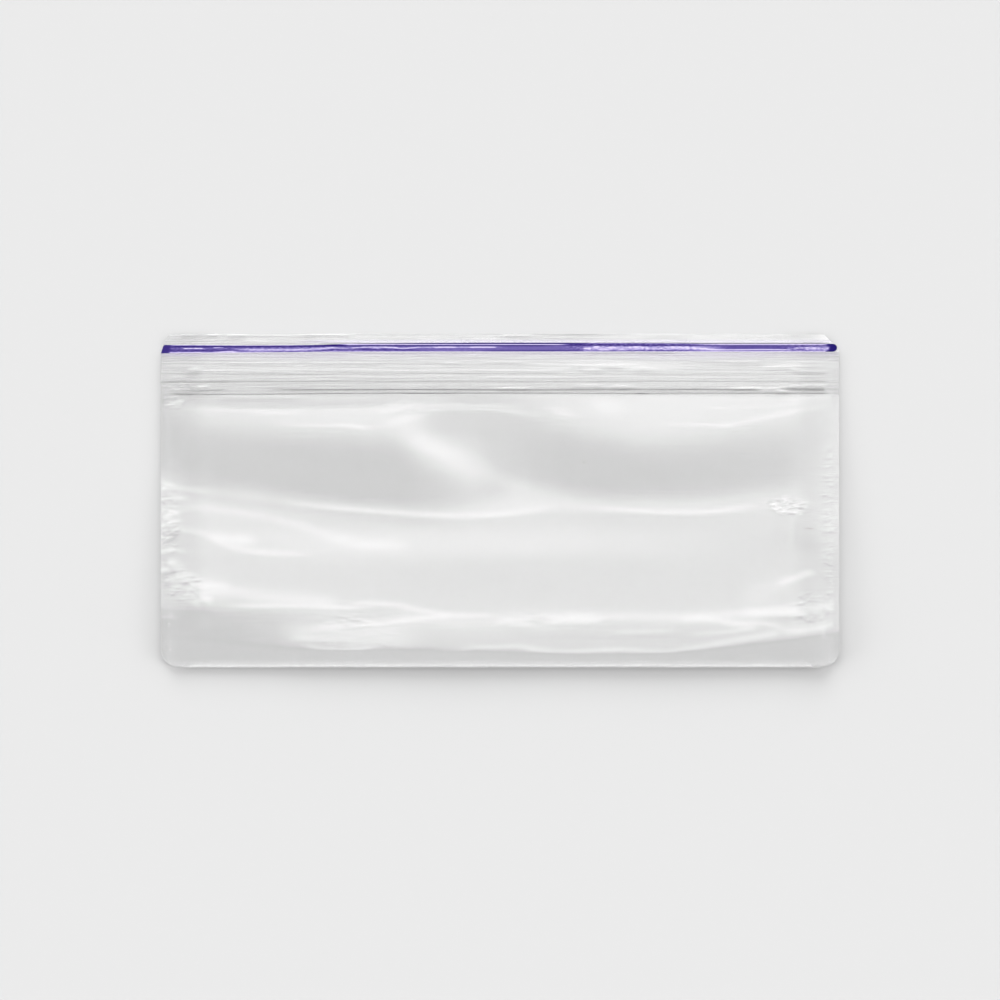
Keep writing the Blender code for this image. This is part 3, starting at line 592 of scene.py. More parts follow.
@dataclass(frozen=True)
class BagShape:
    """Outline, heights and thicknesses of the bag.

    Args:
        width: Weld to weld.
        height: Bottom fold to lips.
        corner: Radius of the two corners at the bottom fold.
        left_start, right_start: Where the ends start to slant in towards the lips.
        left_chamfer, right_chamfer: How far they slant in.
        back_lip: Where the back lip ends, just short of the front one.
        seal_top, seal_foot: Upper and lower edge of the violet closure, across the bag.
        panel_foot: Where the ribbed panel under the violet closure meets the clear closure.
        zip_start: Where the clear closure meets the plain film.
        lip_top: Height of the front film at the lips.
        weld_share: How much of the film's height its welds still have.
        weld_gap: How far the back film is under the front one at the welds.
        side_nose, back_nose: How far in from the welds the front and back film curve.
        back_low: How far the back film lies above the surface.
        fold_nose: How far in from the bottom fold the film curves.
        fold_low: Height of the bottom fold itself.
        film: Thickness of the film.
    """

    width: float = 2 * HALF_WIDTH
    height: float = 82.6
    corner: float = 4.6
    left_start: float = 79.6
    left_chamfer: float = 2.4
    right_start: float = 78.6
    right_chamfer: float = 3.8
    back_lip: float = 82.3
    seal_top: Points = ((-84, 79.88), (-74, 79.84), (-64, 79.78), (-52, 79.82), (-45, 79.9), (-38, 80.12),
                        (84, 80.15))
    seal_foot: Points = ((-84, 77.8), (-74, 77.9), (-60, 78.0), (-42, 78.15), (84, 78.2))
    panel_foot: float = 71.2
    zip_start: float = 67.6
    lip_top: float = 0.8
    weld_share: float = 0.7
    weld_gap: float = 0.25
    side_nose: float = 5.0
    back_nose: float = 8.0
    back_low: float = 0.02
    fold_nose: float = 2.2
    fold_low: float = 0.14
    film: float = 0.06

    def inward(self, y: np.ndarray, start: float, chamfer: float) -> np.ndarray:
        """How far an end of the bag is in from its weld: slanted at the lips, rounded at the bottom fold."""
        slant = chamfer * np.clip((y - start) / (self.height - start), 0.0, 1.0)
        return slant + self.corner * (1.0 - quarter_round(y, self.corner)) * (y < self.corner)

    def left(self, y: np.ndarray) -> np.ndarray:
        """The left end of the bag at a height along it."""
        return -self.width / 2 + self.inward(y, self.left_start, self.left_chamfer)

    def right(self, y: np.ndarray) -> np.ndarray:
        """The right end of the bag at a height along it."""
        return self.width / 2 - self.inward(y, self.right_start, self.right_chamfer)

    def from_weld(self, x: np.ndarray) -> np.ndarray:
        """Distance in from the line of the nearer side weld, which runs on straight past the corners."""
        return self.width / 2 - np.abs(x)

    def folded(self, x: np.ndarray, y: np.ndarray) -> np.ndarray:
        """How far the film has come down to the bottom fold and its rounded corners: 1 there, 0 inside."""
        across = self.corner - np.clip(self.from_weld(x), 0.0, self.corner)
        up = self.corner - np.clip(y, 0.0, self.corner)
        inward = self.corner - np.hypot(across, up)
        return (1.0 - quarter_round(inward, self.fold_nose)) * (1.0 - smooth_step(y / self.corner))

    def from_side(self, x: np.ndarray, y: np.ndarray) -> np.ndarray:
        """Distance in from the nearer side weld."""
        return np.minimum(x - self.left(y), self.right(y) - x)

    def relief(self, x: np.ndarray, y: np.ndarray) -> np.ndarray:
        """Height of the front film away from the edges."""
        height = np.full(np.broadcast(x, y).shape, self.lip_top)
        before = np.zeros_like(height)
        for terrace in TERRACES:
            slope = along(terrace.slopes, x)
            past = along(terrace.line, x) - y
            height = height + (slope - before) * soft_corner(past, terrace.softness)
            before = slope
        for fold in FOLDS + CRUMPLES + ZIP_GLINTS:
            height = height + fold.height(x, y)
        return height

    def front(self, x: np.ndarray, y: np.ndarray) -> np.ndarray:
        """Height of the front film."""
        side = self.weld_share + (1.0 - self.weld_share) * smooth_step(self.from_weld(x) / self.side_nose)
        height = self.relief(x, y) * side
        return height + (self.fold_low - height) * self.folded(x, y)

    def back(self, x: np.ndarray, y: np.ndarray) -> np.ndarray:
        """Height of the back film: level on the surface, lifted to meet the front at the welds."""
        lift = 1.0 - smooth_step(self.from_weld(x) / self.back_nose)
        welded = np.maximum(self.relief(x, y) * self.weld_share - self.weld_gap, self.back_low)
        height = self.back_low + (welded - self.back_low) * lift
        return height + (self.fold_low - height) * self.folded(x, y)


# --- Colours and shader helpers -----------------------------------------------------------------------


def linear(code: str) -> tuple[float, float, float, float]:
    """A linear RGBA colour from an sRGB hex code such as "#3a2190"."""
    parts = [int(code[i : i + 2], 16) / 255.0 for i in (1, 3, 5)]
    return (*(p / 12.92 if p <= 0.04045 else ((p + 0.055) / 1.055) ** 2.4 for p in parts), 1.0)


def add_node(
    tree: bpy.types.NodeTree, kind: str, settings: dict | None = None, **inputs: object
) -> bpy.types.Node:
    """Adds a node, sets its properties and fills or links its inputs.

    Args:
        tree: The node tree.
        kind: The node's type, without the "ShaderNode" at its start.
        settings: Its properties by name.
        inputs: Its inputs: a socket is linked, anything else is set. "_0" means the input with index 0.

    Returns:
        The node.
    """
    node = tree.nodes.new("ShaderNode" + kind)
    for name, value in (settings or {}).items():
        setattr(node, name, value)
    for name, value in inputs.items():
        socket = node.inputs[int(name[1:])] if name[0] == "_" else node.inputs[name.replace("_", " ")]
        if isinstance(value, bpy.types.NodeSocket):
            tree.links.new(value, socket)
        else:
            socket.default_value = value
    return node


def in_plane(tree: bpy.types.NodeTree, size: tuple[float, float]) -> bpy.types.NodeSocket:
    """The place in the plane of the bag, counted in cells of a width and height in millimetres."""
    place = add_node(tree, "TexCoord").outputs["Object"]
    scale = (1.0 / (size[0] * MM), 1.0 / (size[1] * MM), 0.0)
    return add_node(tree, "VectorMath", {"operation": "MULTIPLY"}, _0=place, _1=scale).outputs[0]


def noise(tree: bpy.types.NodeTree, size: tuple[float, float], detail: float) -> bpy.types.NodeSocket:
    """Noise from 0 to 1 that depends on the place in the plane of the bag alone.

    Args:
        tree: The node tree.
        size: Width and height of its spots, in millimetres.
        detail: How many finer layers it has.

    Returns:
        The socket with its value.
    """
    place = in_plane(tree, size)
    return add_node(tree, "TexNoise", Vector=place, Scale=1.0, Detail=detail, Roughness=0.5).outputs[0]


def attribute(tree: bpy.types.NodeTree, name: str) -> bpy.types.NodeSocket:
    """The number that a piece's vertices hold under a name."""
    return add_node(tree, "Attribute", {"attribute_name": name}).outputs["Fac"]


def new_material(name: str) -> tuple[bpy.types.Material, bpy.types.NodeTree, bpy.types.Node]:
    """An empty node material, its tree and its output node."""
    material = bpy.data.materials.new(name)
    material.use_nodes = True
    tree = material.node_tree
    tree.nodes.clear()
    return material, tree, add_node(tree, "OutputMaterial")


@dataclass(frozen=True)
class FilmFinish:
    """Blown polyethylene film: clear, thin and glossy, so it shows as the light it mirrors and a faint grey.

    Args:
        name: The material's name.
        tint: What one face lets through, seen.
        painted_shade: Painted shade: what one face lets through, seen, along the dark lines of the ribs, lip
            edges and welds.
        violet_light: Painted violet light: what one face lets through, seen, where the film beside the violet
            closure is tinted lilac.
        shade: What one face lets through of the light that makes its shadow.
        edge_shade: The same along the welds and folds, where bent film sends the light aside.
        outside_faces: A shadow ray that has met fewer faces than this started outside the bag.
        crinkle: Width and height of the fine creases, in mm.
        crinkle_gap: Width and height of the groups in which they lie, in mm.
        crinkle_rare: Noise levels at which a group starts and is complete.
        crinkle_height: How deep they are where the film is creased most, in mm.
        line: Length and width of the die lines, in mm.
        line_height: How deep these are where they are strongest, in mm.
        roughness: How soft its reflections are.
        ior: Of polyethylene.
    """

    name: str
    tint: str = "#ffffff"
    painted_shade: str = "#a8a8a8"
    violet_light: str = "#f2ecff"
    shade: float = 0.954
    edge_shade: float = 0.4
    outside_faces: float = 3.5
    crinkle: tuple[float, float] = (1.9, 0.85)
    crinkle_gap: tuple[float, float] = (2.4, 2.0)
    crinkle_rare: tuple[float, float] = (0.42, 0.62)
    crinkle_height: float = 0.065
    line: tuple[float, float] = (14.0, 0.45)
    line_height: float = 0.02
    roughness: float = 0.10
    ior: float = 1.51

    def mirrored(self, tree: bpy.types.NodeTree) -> bpy.types.NodeSocket:
        """The share of light that one face mirrors: Schlick's curve, from head-on to grazing."""
        head_on = ((self.ior - 1.0) / (self.ior + 1.0)) ** 2
        facing = add_node(tree, "LayerWeight", Blend=0.5).outputs["Facing"]
        steep = add_node(tree, "Math", {"operation": "POWER"}, _0=facing, _1=SCHLICK_POWER).outputs[0]
        return add_node(tree, "Math", {"operation": "MULTIPLY_ADD"}, _0=steep, _1=1.0 - head_on,
                        _2=head_on).outputs[0]

    def through(self, tree: bpy.types.NodeTree, path: bpy.types.NodeOutputs) -> bpy.types.NodeSocket:
        """The colour of what one face lets through, for the eye and for the light that makes the shadow."""
        edge, painted_shade, violet_light = (attribute(tree, name) for name in ("edge", "painted_shade", "violet_light"))
        # Painted shade: the see-through colour darkens along the ribs, lip edges and welds.
        shaded = add_node(tree, "Mix", {"data_type": "RGBA"}, _0=painted_shade, _6=linear(self.tint),
                         _7=linear(self.painted_shade)).outputs[2]
        # Painted violet light: the see-through colour turns lilac beside the violet closure.
        seen = add_node(tree, "Mix", {"data_type": "RGBA", "blend_type": "MULTIPLY"}, _0=violet_light, _6=shaded,
                        _7=linear(self.violet_light)).outputs[2]
        outside = add_node(tree, "Math", {"operation": "LESS_THAN"}, _0=path["Transparent Depth"],
                           _1=self.outside_faces).outputs[0]
        rim = add_node(tree, "Math", {"operation": "MULTIPLY"}, _0=edge, _1=outside).outputs[0]
        shade = add_node(tree, "MapRange", _0=rim, _3=self.shade, _4=self.edge_shade).outputs[0]
        shade_colour = add_node(tree, "CombineColor", Red=shade, Green=shade, Blue=shade).outputs[0]
        return add_node(tree, "Mix", {"data_type": "RGBA"}, _0=path["Is Camera Ray"], _6=shade_colour,
                        _7=seen).outputs[2]

    def creased(self, tree: bpy.types.NodeTree) -> bpy.types.NodeSocket:
        """The normal, bumped by the fine creases and the die lines."""
        cells = add_node(tree, "TexVoronoi", Vector=in_plane(tree, self.crinkle), Scale=1.0)
        spots = noise(tree, self.crinkle_gap, 1.0)
        start, full = self.crinkle_rare
        groups = add_node(tree, "MapRange", _0=spots, _1=start, _2=full).outputs[0]
        creases = add_node(tree, "Math", {"operation": "MULTIPLY"}, _0=cells.outputs["Distance"], _1=groups)
        lines = noise(tree, self.line, 1.0)
        height = 0.0
        for name, bump, deep in (
            ("crinkle", creases.outputs[0], self.crinkle_height),
            ("line", lines, self.line_height),
        ):
            share = attribute(tree, name)
            bump = add_node(tree, "Math", {"operation": "MULTIPLY"}, _0=bump, _1=share).outputs[0]
            height = add_node(tree, "Math", {"operation": "MULTIPLY_ADD"}, _0=bump, _1=deep,
                              _2=height).outputs[0]
        return add_node(tree, "Bump", Strength=1.0, Distance=MM, Height=height).outputs[0]

    def material(self) -> bpy.types.Material:
        """The finish as a node material."""
        material, tree, output = new_material(self.name)
        path = add_node(tree, "LightPath").outputs
        clear = add_node(tree, "BsdfTransparent", Color=self.through(tree, path))
        gloss = add_node(tree, "BsdfPrincipled", Base_Color=(1.0, 1.0, 1.0, 1.0), Metallic=1.0,
                         Roughness=self.roughness, Normal=self.creased(tree))
        lit = add_node(tree, "Math", {"operation": "SUBTRACT"}, _0=1.0, _1=path["Is Shadow Ray"]).outputs[0]
        share = add_node(tree, "Math", {"operation": "MULTIPLY"}, _0=self.mirrored(tree), _1=lit).outputs[0]
        surface = add_node(tree, "MixShader", _0=share, _1=clear.outputs[0], _2=gloss.outputs[0])
        tree.links.new(surface.outputs[0], output.inputs["Surface"])
        return material


@dataclass(frozen=True)
class VioletFinish:
    """Violet polyethylene of the closure: translucent, so thin places are pale and thicker ones deep; its
    depth also carries painted highlights and painted shade of the ribs.

    Args:
        name: The material's name.
        shades: (depth, colour) stops from thin to thick plastic.
        shadow: What one face lets through of the light that makes its shadow.
        speckle_size: Length and width of the painted speckle of tiny highlights and dark specks, in mm.
        roughness: How soft its reflections are.
        specular: How much it mirrors; the ribbed surface scatters most of it.
    """

    name: str
    shades: tuple[tuple[float, str], ...] = (
        (0.0, "#8b849a"), (0.25, "#665f82"), (0.5, "#433a66"), (0.75, "#251a4e"), (1.0, "#09003c"),
    )
    shadow: str = "#fcfaff"
    speckle_size: tuple[float, float] = (0.9, 0.24)
    roughness: float = 0.35
    specular: float = 0.08

    def material(self) -> bpy.types.Material:
        """The finish as a node material."""
        material, tree, output = new_material(self.name)
        # A painted speckle of tiny highlights and dark specks is added to the depth, which also holds the
        # painted highlights and shade of the ribs.
        specks = noise(tree, self.speckle_size, 2.0)
        glint_speckle = add_node(tree, "Math", {"operation": "SUBTRACT"}, _0=specks, _1=0.5).outputs[0]
        speckled_depth = add_node(tree, "Math", {"operation": "MULTIPLY_ADD"}, _0=glint_speckle,
                             _1=attribute(tree, "grain"), _2=attribute(tree, "depth"))
        ramp = add_node(tree, "ValToRGB", Fac=speckled_depth.outputs[0])
        stops = ramp.color_ramp.elements
        while len(stops) < len(self.shades):
            stops.new(0.5)
        for stop, (place, code) in zip(stops, self.shades):
            stop.position = place
            stop.color = linear(code)
        plastic = add_node(tree, "BsdfPrincipled", Base_Color=ramp.outputs[0], Roughness=self.roughness,
                           Specular_IOR_Level=self.specular)
        glow = add_node(tree, "BsdfTransparent", Color=linear(self.shadow))
        in_shadow = add_node(tree, "LightPath").outputs["Is Shadow Ray"]
        surface = add_node(tree, "MixShader", _0=in_shadow, _1=plastic.outputs[0], _2=glow.outputs[0])
        tree.links.new(surface.outputs[0], output.inputs["Surface"])
        return material


@dataclass(frozen=True)
class GritFinish:
    """Grey household dust: dry and dull, so it shows as small dark marks on the gloss of the film."""

    name: str
    colour: str = "#6c6a66"
    roughness: float = 0.9

    def material(self) -> bpy.types.Material:
        """The finish as a node material."""
        material, tree, output = new_material(self.name)
        grit = add_node(tree, "BsdfPrincipled", Base_Color=linear(self.colour), Roughness=self.roughness)
        tree.links.new(grit.outputs[0], output.inputs["Surface"])
        return material


# --- Meshes -------------------------------------------------------------------------------------------


def deselect() -> None:
    """Clears the selection, so that an operator acts on the new piece alone."""
    bpy.ops.object.select_all(action="DESELECT")


def add_grid(name: str, columns: int, rows: int) -> bpy.types.Object:
    """A flat grid primitive with a number of columns and rows of faces, as the active object."""
    deselect()
    bpy.ops.mesh.primitive_grid_add(x_subdivisions=columns, y_subdivisions=rows, size=2.0)
    piece = bpy.context.active_object
    piece.name = name
    piece.data.name = name
    return piece


def apply_modifier(piece: bpy.types.Object, kind: str, **settings: object) -> None:
    """Adds a modifier with its settings and applies it."""
    deselect()
    piece.select_set(True)
    bpy.context.view_layer.objects.active = piece
    modifier = piece.modifiers.new(kind.lower(), kind)
    for name, value in settings.items():
        setattr(modifier, name, value)
    bpy.ops.object.modifier_apply(modifier=modifier.name)


def grid_places(piece: bpy.types.Object) -> tuple[np.ndarray, np.ndarray]:
    """Each vertex's share of the way across and up a grid primitive, 0 to 1."""
    places = np.empty(len(piece.data.vertices) * 3, np.float32)
    piece.data.vertices.foreach_get("co", places)
    places = places.reshape(-1, 3).astype(np.float64)
    return (places[:, 0] + 1.0) / 2.0, (places[:, 1] + 1.0) / 2.0


def place(piece: bpy.types.Object, x: np.ndarray, y: np.ndarray, z: np.ndarray, shape: BagShape) -> None:
    """Moves the vertices to their places in the bag, given in millimetres."""
    places = np.stack([x, y - shape.height / 2, z], axis=1) * MM
    piece.data.vertices.foreach_set("co", places.astype(np.float32).ravel())
    piece.data.update()


def set_attribute(piece: bpy.types.Object, name: str, values: np.ndarray) -> None:
    """Stores one number for each vertex under a name that a material reads."""
    stored = piece.data.attributes.new(name, "FLOAT", "POINT")
    stored.data.foreach_set("value", values.astype(np.float32))


def spread(stops: Points, share: np.ndarray) -> np.ndarray:
    """Places along a side, from (share, place) stops, straight between them."""
    return np.interp(share, [stop[0] for stop in stops], [stop[1] for stop in stops])


def finish_piece(piece: bpy.types.Object, material: bpy.types.Material, node: Node) -> bpy.types.Object:
    """Shades a piece smooth, dresses it and puts it on the frame in place of a CAD node."""
    deselect()
    piece.select_set(True)
    bpy.context.view_layer.objects.active = piece
    bpy.ops.object.shade_smooth_by_angle(angle=SHARP_ANGLE)
    piece.data.materials.clear()
    piece.data.materials.append(material)
    name, slot = node.value
    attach(piece, "root")
    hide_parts(name)
    log.info("%s: %d faces", piece.name, len(piece.data.polygons))
    return piece


@dataclass
class Sheet:
    """A sheet of film between two lines across the bag.

    Args:
        name: The piece's name.
        shape: The bag that it is part of.
        columns, rows: How finely it is divided.
        low, high: Its lower and upper edge, across the bag.
        across: (share, share) stops that crowd the columns towards the welds.
        up: The same for the rows, from the lower edge to the upper one.
        back: Whether it is the back film.
        rim_share: How much of the shadow of a bent edge the film still casts at its very rim.
        rim_reach: How far in from the rim that shadow is at its full strength.
        edge_reach: How far in it starts to fade; it ends at twice that.
        weld_painted_shade: How much painted shade darkens the film along the welds.
        weld_reach: How far in from the welds that fades out.
        lines: How strong the die lines are.
    """

    name: str
    shape: BagShape
    columns: int
    rows: int
    low: Points
    high: Points
    across: Points = ((0, 0), (0.12, 0.045), (0.25, 0.12), (0.75, 0.88), (0.88, 0.955), (1, 1))
    up: Points = ((0, 0), (1, 1))
    back: bool = False
    rim_share: float = 0.35
    rim_reach: float = 3.0
    edge_reach: float = 6.0
    weld_painted_shade: float = 0.1
    weld_reach: float = 2.4
    lines: float = 0.25

    def build(self) -> bpy.types.Object:
        """The sheet as a closed mesh with its thickness, and what its material reads."""
        piece = add_grid(self.name, self.columns, self.rows)
        across, up = grid_places(piece)
        across = spread(self.across, across)
        up = spread(self.up, up)
        middle = (across - 0.5) * self.shape.width
        low, high = along(self.low, middle), along(self.high, middle)
        y = low + (high - low) * up
        left, right = self.shape.left(y), self.shape.right(y)
        x = left + (right - left) * across
        z = self.shape.back(x, y) if self.back else self.shape.front(x, y)
        place(piece, x, y, z, self.shape)
        if not self.back:
            inward = np.minimum(self.shape.from_side(x, y), y)
            edge = self.rim_share + (1.0 - self.rim_share) * smooth_step(inward / self.rim_reach)
            # Painted shade: a darker see-through colour along the welds and the ribs.
            weld = self.weld_painted_shade * (1.0 - smooth_step(self.shape.from_weld(x) / self.weld_reach))
            set_attribute(piece, "edge", edge * (1.0 - smooth_step(inward / self.edge_reach - 1.0)))
            set_attribute(piece, "painted_shade", np.clip(total(PAINTED_SHADE_LINES, x, y) + weld, 0.0, 1.0))
            # Painted violet light: a lilac see-through tint beside the violet closure.
            set_attribute(piece, "violet_light", np.clip(total(PAINTED_VIOLET_LIGHT, x, y), 0.0, 1.0))
            set_attribute(piece, "crinkle", np.max([patch.strength(x, y) for patch in CRINKLED], axis=0))
            set_attribute(piece, "line", np.full(len(x), self.lines))
        apply_modifier(piece, "SOLIDIFY", thickness=self.shape.film * MM, offset=1.0 if self.back else -1.0)
        return piece


@dataclass
class FilmBody:
    """The front and back film of the bag, from the bottom fold up to the zip band.

    Args:
        shape: The bag.
        film: Its material.
        front_grid, back_grid: Columns and rows of the front and back film.
        back_up: (share, share) stops that crowd the back film's rows towards the bottom fold.
    """

    shape: BagShape
    film: bpy.types.Material
    front_grid: tuple[int, int] = (210, 230)
    back_grid: tuple[int, int] = (90, 90)
    back_up: Points = ((0, 0), (0.3, 0.07), (1, 1))

    def build(self) -> None:
        """Makes, dresses and places the film."""
        front = Sheet("front_film", self.shape, *self.front_grid, level(0.0), level(self.shape.zip_start))
        finish_piece(front.build(), self.film, Node.FILM)
        back = Sheet("back_film", self.shape, *self.back_grid, level(0.0), level(self.shape.back_lip),
                     up=self.back_up, back=True)
        finish_piece(back.build(), self.film, Node.FILM)


@dataclass
class ZipBand:
    """The lips, the ribbed panel between the two closures, and the clear closure.

    Args:
        shape: The bag.
        film: Its material.
        columns: Columns of each of the three sheets.
        lip_rows, panel_rows, press_rows: Their rows.
        lines: How strong the die lines are in them.
    """

    shape: BagShape
    film: bpy.types.Material
    columns: int = 260
    lip_rows: int = 48
    panel_rows: int = 90
    press_rows: int = 60
    lines: float = 0.8

    def build(self) -> None:
        """Makes, dresses and places the band's film."""
        shape = self.shape
        panel_foot = level(shape.panel_foot)
        for name, rows, low, high, node in (
            ("front_lip", self.lip_rows, shape.seal_top, level(shape.height), Node.FILM),
            ("ribbed_panel", self.panel_rows, panel_foot, shape.seal_foot, Node.FILM),
            ("clear_closure", self.press_rows, level(shape.zip_start), panel_foot, Node.CLEAR),
        ):
            sheet = Sheet(name, shape, self.columns, rows, low, high, lines=self.lines)
            finish_piece(sheet.build(), self.film, node)


@dataclass
class VioletClosure:
    """The violet press strip with its ridges and crushed ends.

    Args:
        shape: The bag.
        finish: The strip's finish.
        columns, rows: How finely it is divided.
        crowd: (share, share) stops that crowd the columns towards the ends.
        depth: How deep the violet is between the ribs, from 0, thin and pale, to 1.
        crush_reach, crush_fade: How far in from its ends the strip is crushed, and over how much that fades.
        end_depths: How deep the violet is in the left and right crushed end.
        left_slant: How far the left end leans in towards the lips.
        right_gap: How far the right end stays in from the weld.
        right_round, round_share: How far its corners are rounded in, and how much of a half circle they make.
        ridge: How far a rib of full strength stands up.
        thickness: Of the strip.
        grain: (x, amount) of the painted speckle of tiny highlights and dark specks along the strip.
    """

    shape: BagShape
    finish: VioletFinish = field(default_factory=lambda: VioletFinish("violet_polyethylene"))
    columns: int = 560
    rows: int = 36
    crowd: Points = ((0, 0), (0.06, 0.02), (0.94, 0.98), (1, 1))
    depth: float = 0.53
    crush_reach: float = 1.32
    crush_fade: float = 1.1
    end_depths: tuple[float, float] = (0.85, 1.0)
    left_slant: float = 0.65
    right_gap: float = 0.5
    right_round: float = 1.2
    round_share: float = 0.97
    ridge: float = 0.012
    thickness: float = 0.5
    grain: Points = ((-84, 1.1), (-70, 0.9), (-50, 1.3), (-40, 1.1), (-28, 0.7), (-14, 0.5), (0, 0.35),
                     (16, 0.4), (21, 1.2), (46, 1.2), (53, 0.6), (68, 0.4), (74, 1.4), (84, 1.4))

    def build(self) -> None:
        """Makes, dresses and places the closure."""
        shape = self.shape
        piece = add_grid("violet_closure", self.columns, self.rows)
        across, up = grid_places(piece)
        across = spread(self.crowd, across)
        middle = (across - 0.5) * shape.width
        low, high = along(shape.seal_foot, middle), along(shape.seal_top, middle)
        y = low + (high - low) * up
        rounding = 1.0 - np.sqrt(1.0 - (2.0 * up - 1.0) ** 2 * self.round_share)
        left = shape.left(y) + self.left_slant * up
        right = shape.width / 2 - self.right_gap - self.right_round * rounding
        x = left + (right - left) * across
        # The streaks' pale lines are painted highlights; their dark ones are partly thicker violet and partly
        # painted shade.
        streaks = total(VIOLET_STREAKS, x, y)
        near_end = np.minimum(x - left, right - x)
        crushed = 1.0 - smooth_step((near_end - self.crush_reach) / self.crush_fade)
        end_depth = np.where(x < 0.0, self.end_depths[0], self.end_depths[1])
        depth = (self.depth + streaks) * (1.0 - crushed) + end_depth * crushed
        place(piece, x, y, shape.front(x, y) + self.ridge * streaks, shape)
        set_attribute(piece, "depth", np.clip(depth, 0.0, 1.0))
        # grain sets how strong the painted speckle of tiny highlights and dark specks is.
        set_attribute(piece, "grain", along(self.grain, x) * (1.0 - crushed))
        apply_modifier(piece, "SOLIDIFY", thickness=self.thickness * MM, offset=-1.0)
        finish_piece(piece, self.finish.material(), Node.COLOUR)


@dataclass(frozen=True)
class Speck:
    """One grain of dust on the film: its place, its length and width, and how it is turned, in degrees."""

    x: float
    y: float
    length: float
    width: float
    turn: float = 0.0


@dataclass
class Dust:
    """The few specks of dust that lie on the bag.

    Args:
        shape: The bag.
        specks: The grains.
        lift: How far the middle of a grain is above the film.
        thickness: Of a grain.
        finish: Their finish.
    """

    shape: BagShape
    specks: tuple[Speck, ...] = (
        Speck(20.8, 50.8, 0.7, 0.35, 20), Speck(11.6, 32.8, 0.4, 0.3), Speck(76.6, 34.4, 2.2, 0.28, -3),
        Speck(69.1, 49.9, 0.35, 0.3), Speck(-58.7, 11.5, 0.35, 0.3),
    )
    lift: float = 0.02
    thickness: float = 0.16
    finish: GritFinish = field(default_factory=lambda: GritFinish("grey_dust"))

    def build(self) -> None:
        """Makes, dresses and places the specks as one piece."""
        pieces = []
        for number, speck in enumerate(self.specks):
            height = float(self.shape.front(np.array([speck.x]), np.array([speck.y]))[0]) + self.lift
            deselect()
            bpy.ops.mesh.primitive_ico_sphere_add(
                subdivisions=2, radius=0.5 * MM,
                location=(speck.x * MM, (speck.y - self.shape.height / 2) * MM, height * MM),
                rotation=(0.0, 0.0, np.radians(speck.turn)),
            )
            grain = bpy.context.active_object
            grain.name = f"speck_{number}"
            grain.scale = (speck.length, speck.width, self.thickness)
            bpy.ops.object.transform_apply(location=True, rotation=True, scale=True)
            pieces.append(grain)
        deselect()
        for grain in pieces:
            grain.select_set(True)
        bpy.context.view_layer.objects.active = pieces[0]
        bpy.ops.object.join()
        pieces[0].name = "dust_specks"
        finish_piece(pieces[0], self.finish.material(), Node.FILM)


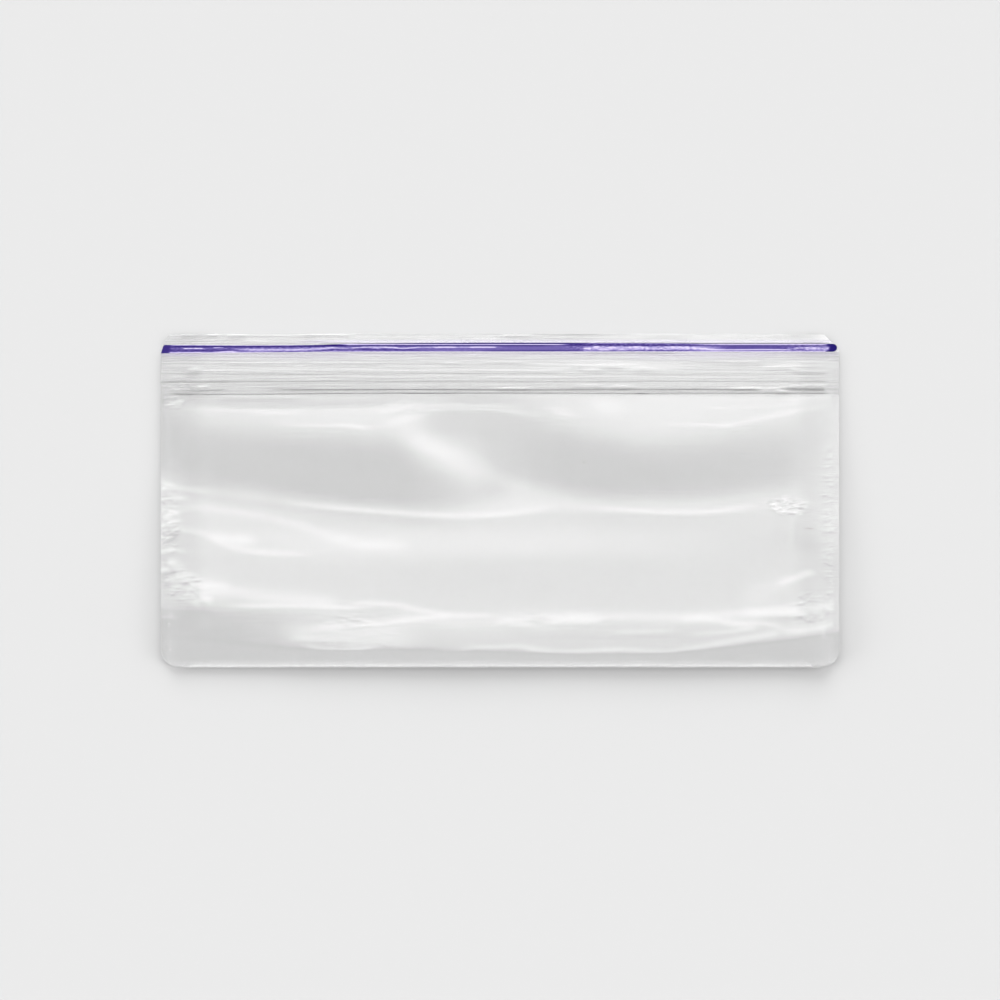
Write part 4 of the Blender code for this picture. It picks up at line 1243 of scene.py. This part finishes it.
@dataclass(frozen=True)
class Studio:
    """Plain pale floor, soft light from beyond the lips, and a camera straight above.

    A direction of light is a unit vector: its y runs towards the lips, its z up. A pair of numbers is where
    along one of its parts a light starts and where it is full.

    Args:
        frame_width: Width of what the camera sees.
        camera_height, camera_shift: Where the camera is, above the bag and towards the lips.
        sensor: Width of its sensor.
        clip_end: How far it sees, in metres.
        floor_side, floor_colour: Size and colour of the floor.
        ambient: Light from every side.
        horizon: The height at which every other light starts.
        panel, panel_start, panel_end, panel_sides: Strength and reach of the broad panel overhead.
        glow, glow_start: The part of it further towards the lips, which is brighter.
        key, key_start, key_end, key_sides: Strength and reach of the low key light beyond the lips.
        wing, wing_start, wing_end, wing_length: Strength and reach of the low light at each side.
        fill, fill_start: Weak light from the side of the bottom fold.
        seen: How bright the surroundings are to the camera itself.
        clear_bounces, bounces: How many clear faces and how many bounces a ray may meet.
    """

    frame_width: float = 247.8
    camera_height: float = 4000.0
    camera_shift: float = 0.16
    sensor: float = 36.0
    clip_end: float = 20.0
    floor_side: float = 6000.0
    floor_colour: str = "#888888"
    ambient: float = 0.22
    horizon: tuple[float, float] = (0.0, 0.05)
    panel: float = 3.6
    panel_start: tuple[float, float] = (0.0, 0.155)
    panel_end: tuple[float, float] = (0.62, 0.5)
    panel_sides: tuple[float, float] = (0.97, 0.85)
    glow: float = 1.3
    glow_start: tuple[float, float] = (0.155, 0.32)
    key: float = 18.0
    key_start: tuple[float, float] = (0.66, 0.72)
    key_end: tuple[float, float] = (0.98, 0.93)
    key_sides: tuple[float, float] = (0.4, 0.3)
    wing: float = 14.0
    wing_start: tuple[float, float] = (0.84, 0.87)
    wing_end: tuple[float, float] = (0.99, 0.96)
    wing_length: tuple[float, float] = (0.45, 0.35)
    fill: float = 0.26
    fill_start: tuple[float, float] = (-0.02, -0.12)
    seen: float = 0.83
    clear_bounces: int = 32
    bounces: int = 8

    def floor(self) -> None:
        """The surface that the bag lies on."""
        deselect()
        bpy.ops.mesh.primitive_plane_add(size=self.floor_side * MM)
        floor = bpy.context.active_object
        floor.name = "floor"
        material, tree, output = new_material("matt_card")  # dull, so that only the bag's shadow shows on it
        card = add_node(tree, "BsdfDiffuse", Color=linear(self.floor_colour))
        tree.links.new(card.outputs[0], output.inputs["Surface"])
        floor.data.materials.append(material)

    def band(
        self, tree: bpy.types.NodeTree, value: bpy.types.NodeSocket, ends: tuple[float, float]
    ) -> bpy.types.NodeSocket:
        """0 to 1 as a value goes from where a light starts to where it is full."""
        return add_node(tree, "MapRange", _0=value, _1=ends[0], _2=ends[1]).outputs[0]

    def joined(self, tree: bpy.types.NodeTree, operation: str, *values: object) -> bpy.types.NodeSocket:
        """The sum or product of several values, with ADD or MULTIPLY."""
        result = values[0]
        for value in values[1:]:
            result = add_node(tree, "Math", {"operation": operation}, _0=result, _1=value).outputs[0]
        return result

    def light(self) -> None:
        """The lights by direction: a broad panel from the zenith on, the key light, the wings, the fill."""
        world = bpy.data.worlds.new("studio")
        bpy.context.scene.world = world
        world.use_nodes = True
        tree = world.node_tree
        tree.nodes.clear()
        direction = add_node(tree, "TexCoord").outputs["Generated"]
        across, towards_lips, up = add_node(tree, "SeparateXYZ", _0=direction).outputs
        sideways, lengthways = (add_node(tree, "Math", {"operation": "ABSOLUTE"}, _0=part).outputs[0]
                                for part in (across, towards_lips))
        above = self.band(tree, up, self.horizon)
        near = self.joined(tree, "MULTIPLY", self.band(tree, towards_lips, self.panel_start), self.panel)
        far = self.joined(tree, "MULTIPLY", self.band(tree, towards_lips, self.glow_start), self.glow)
        panel = self.joined(tree, "MULTIPLY", self.joined(tree, "ADD", near, far),
                            self.band(tree, towards_lips, self.panel_end),
                            self.band(tree, sideways, self.panel_sides), above)
        key = self.joined(tree, "MULTIPLY", self.band(tree, towards_lips, self.key_start),
                          self.band(tree, towards_lips, self.key_end),
                          self.band(tree, sideways, self.key_sides), above, self.key)
        wings = self.joined(tree, "MULTIPLY", self.band(tree, sideways, self.wing_start),
                            self.band(tree, sideways, self.wing_end),
                            self.band(tree, lengthways, self.wing_length), above, self.wing)
        fill = self.joined(tree, "MULTIPLY", self.band(tree, towards_lips, self.fill_start), above, self.fill)
        light = self.joined(tree, "ADD", panel, key, wings, fill, self.ambient)
        seen = add_node(tree, "LightPath").outputs["Is Camera Ray"]
        strength = add_node(tree, "Mix", {"data_type": "FLOAT"}, _0=seen, _2=light, _3=self.seen).outputs[0]
        background = add_node(tree, "Background", Color=(1, 1, 1, 1), Strength=strength)
        output = add_node(tree, "OutputWorld")
        tree.links.new(background.outputs[0], output.inputs["Surface"])

    def camera(self) -> None:
        """A long lens straight above the bag."""
        data = bpy.data.cameras.new("camera")
        data.sensor_width = self.sensor
        data.lens = self.sensor * self.camera_height / self.frame_width
        data.clip_end = self.clip_end
        camera = bpy.data.objects.new("camera", data)
        camera.location = (0.0, self.camera_shift * MM, self.camera_height * MM)
        bpy.context.scene.collection.objects.link(camera)
        bpy.context.scene.camera = camera

    def build(self) -> None:
        """Sets up floor, light and camera, and plain colours for the picture."""
        self.floor()
        self.light()
        self.camera()
        scene = bpy.context.scene
        scene.view_settings.view_transform = "Standard"
        scene.cycles.transparent_max_bounces = self.clear_bounces
        scene.cycles.max_bounces = self.bounces


def main() -> None:
    """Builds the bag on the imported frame."""
    logging.basicConfig(level=logging.INFO, format="%(name)s %(message)s")
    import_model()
    Studio().build()
    shape = BagShape()
    film = FilmFinish("blown_polyethylene_film").material()
    FilmBody(shape, film).build()
    ZipBand(shape, film).build()
    VioletClosure(shape).build()
    Dust(shape).build()


if __name__ == "__main__":
    main()
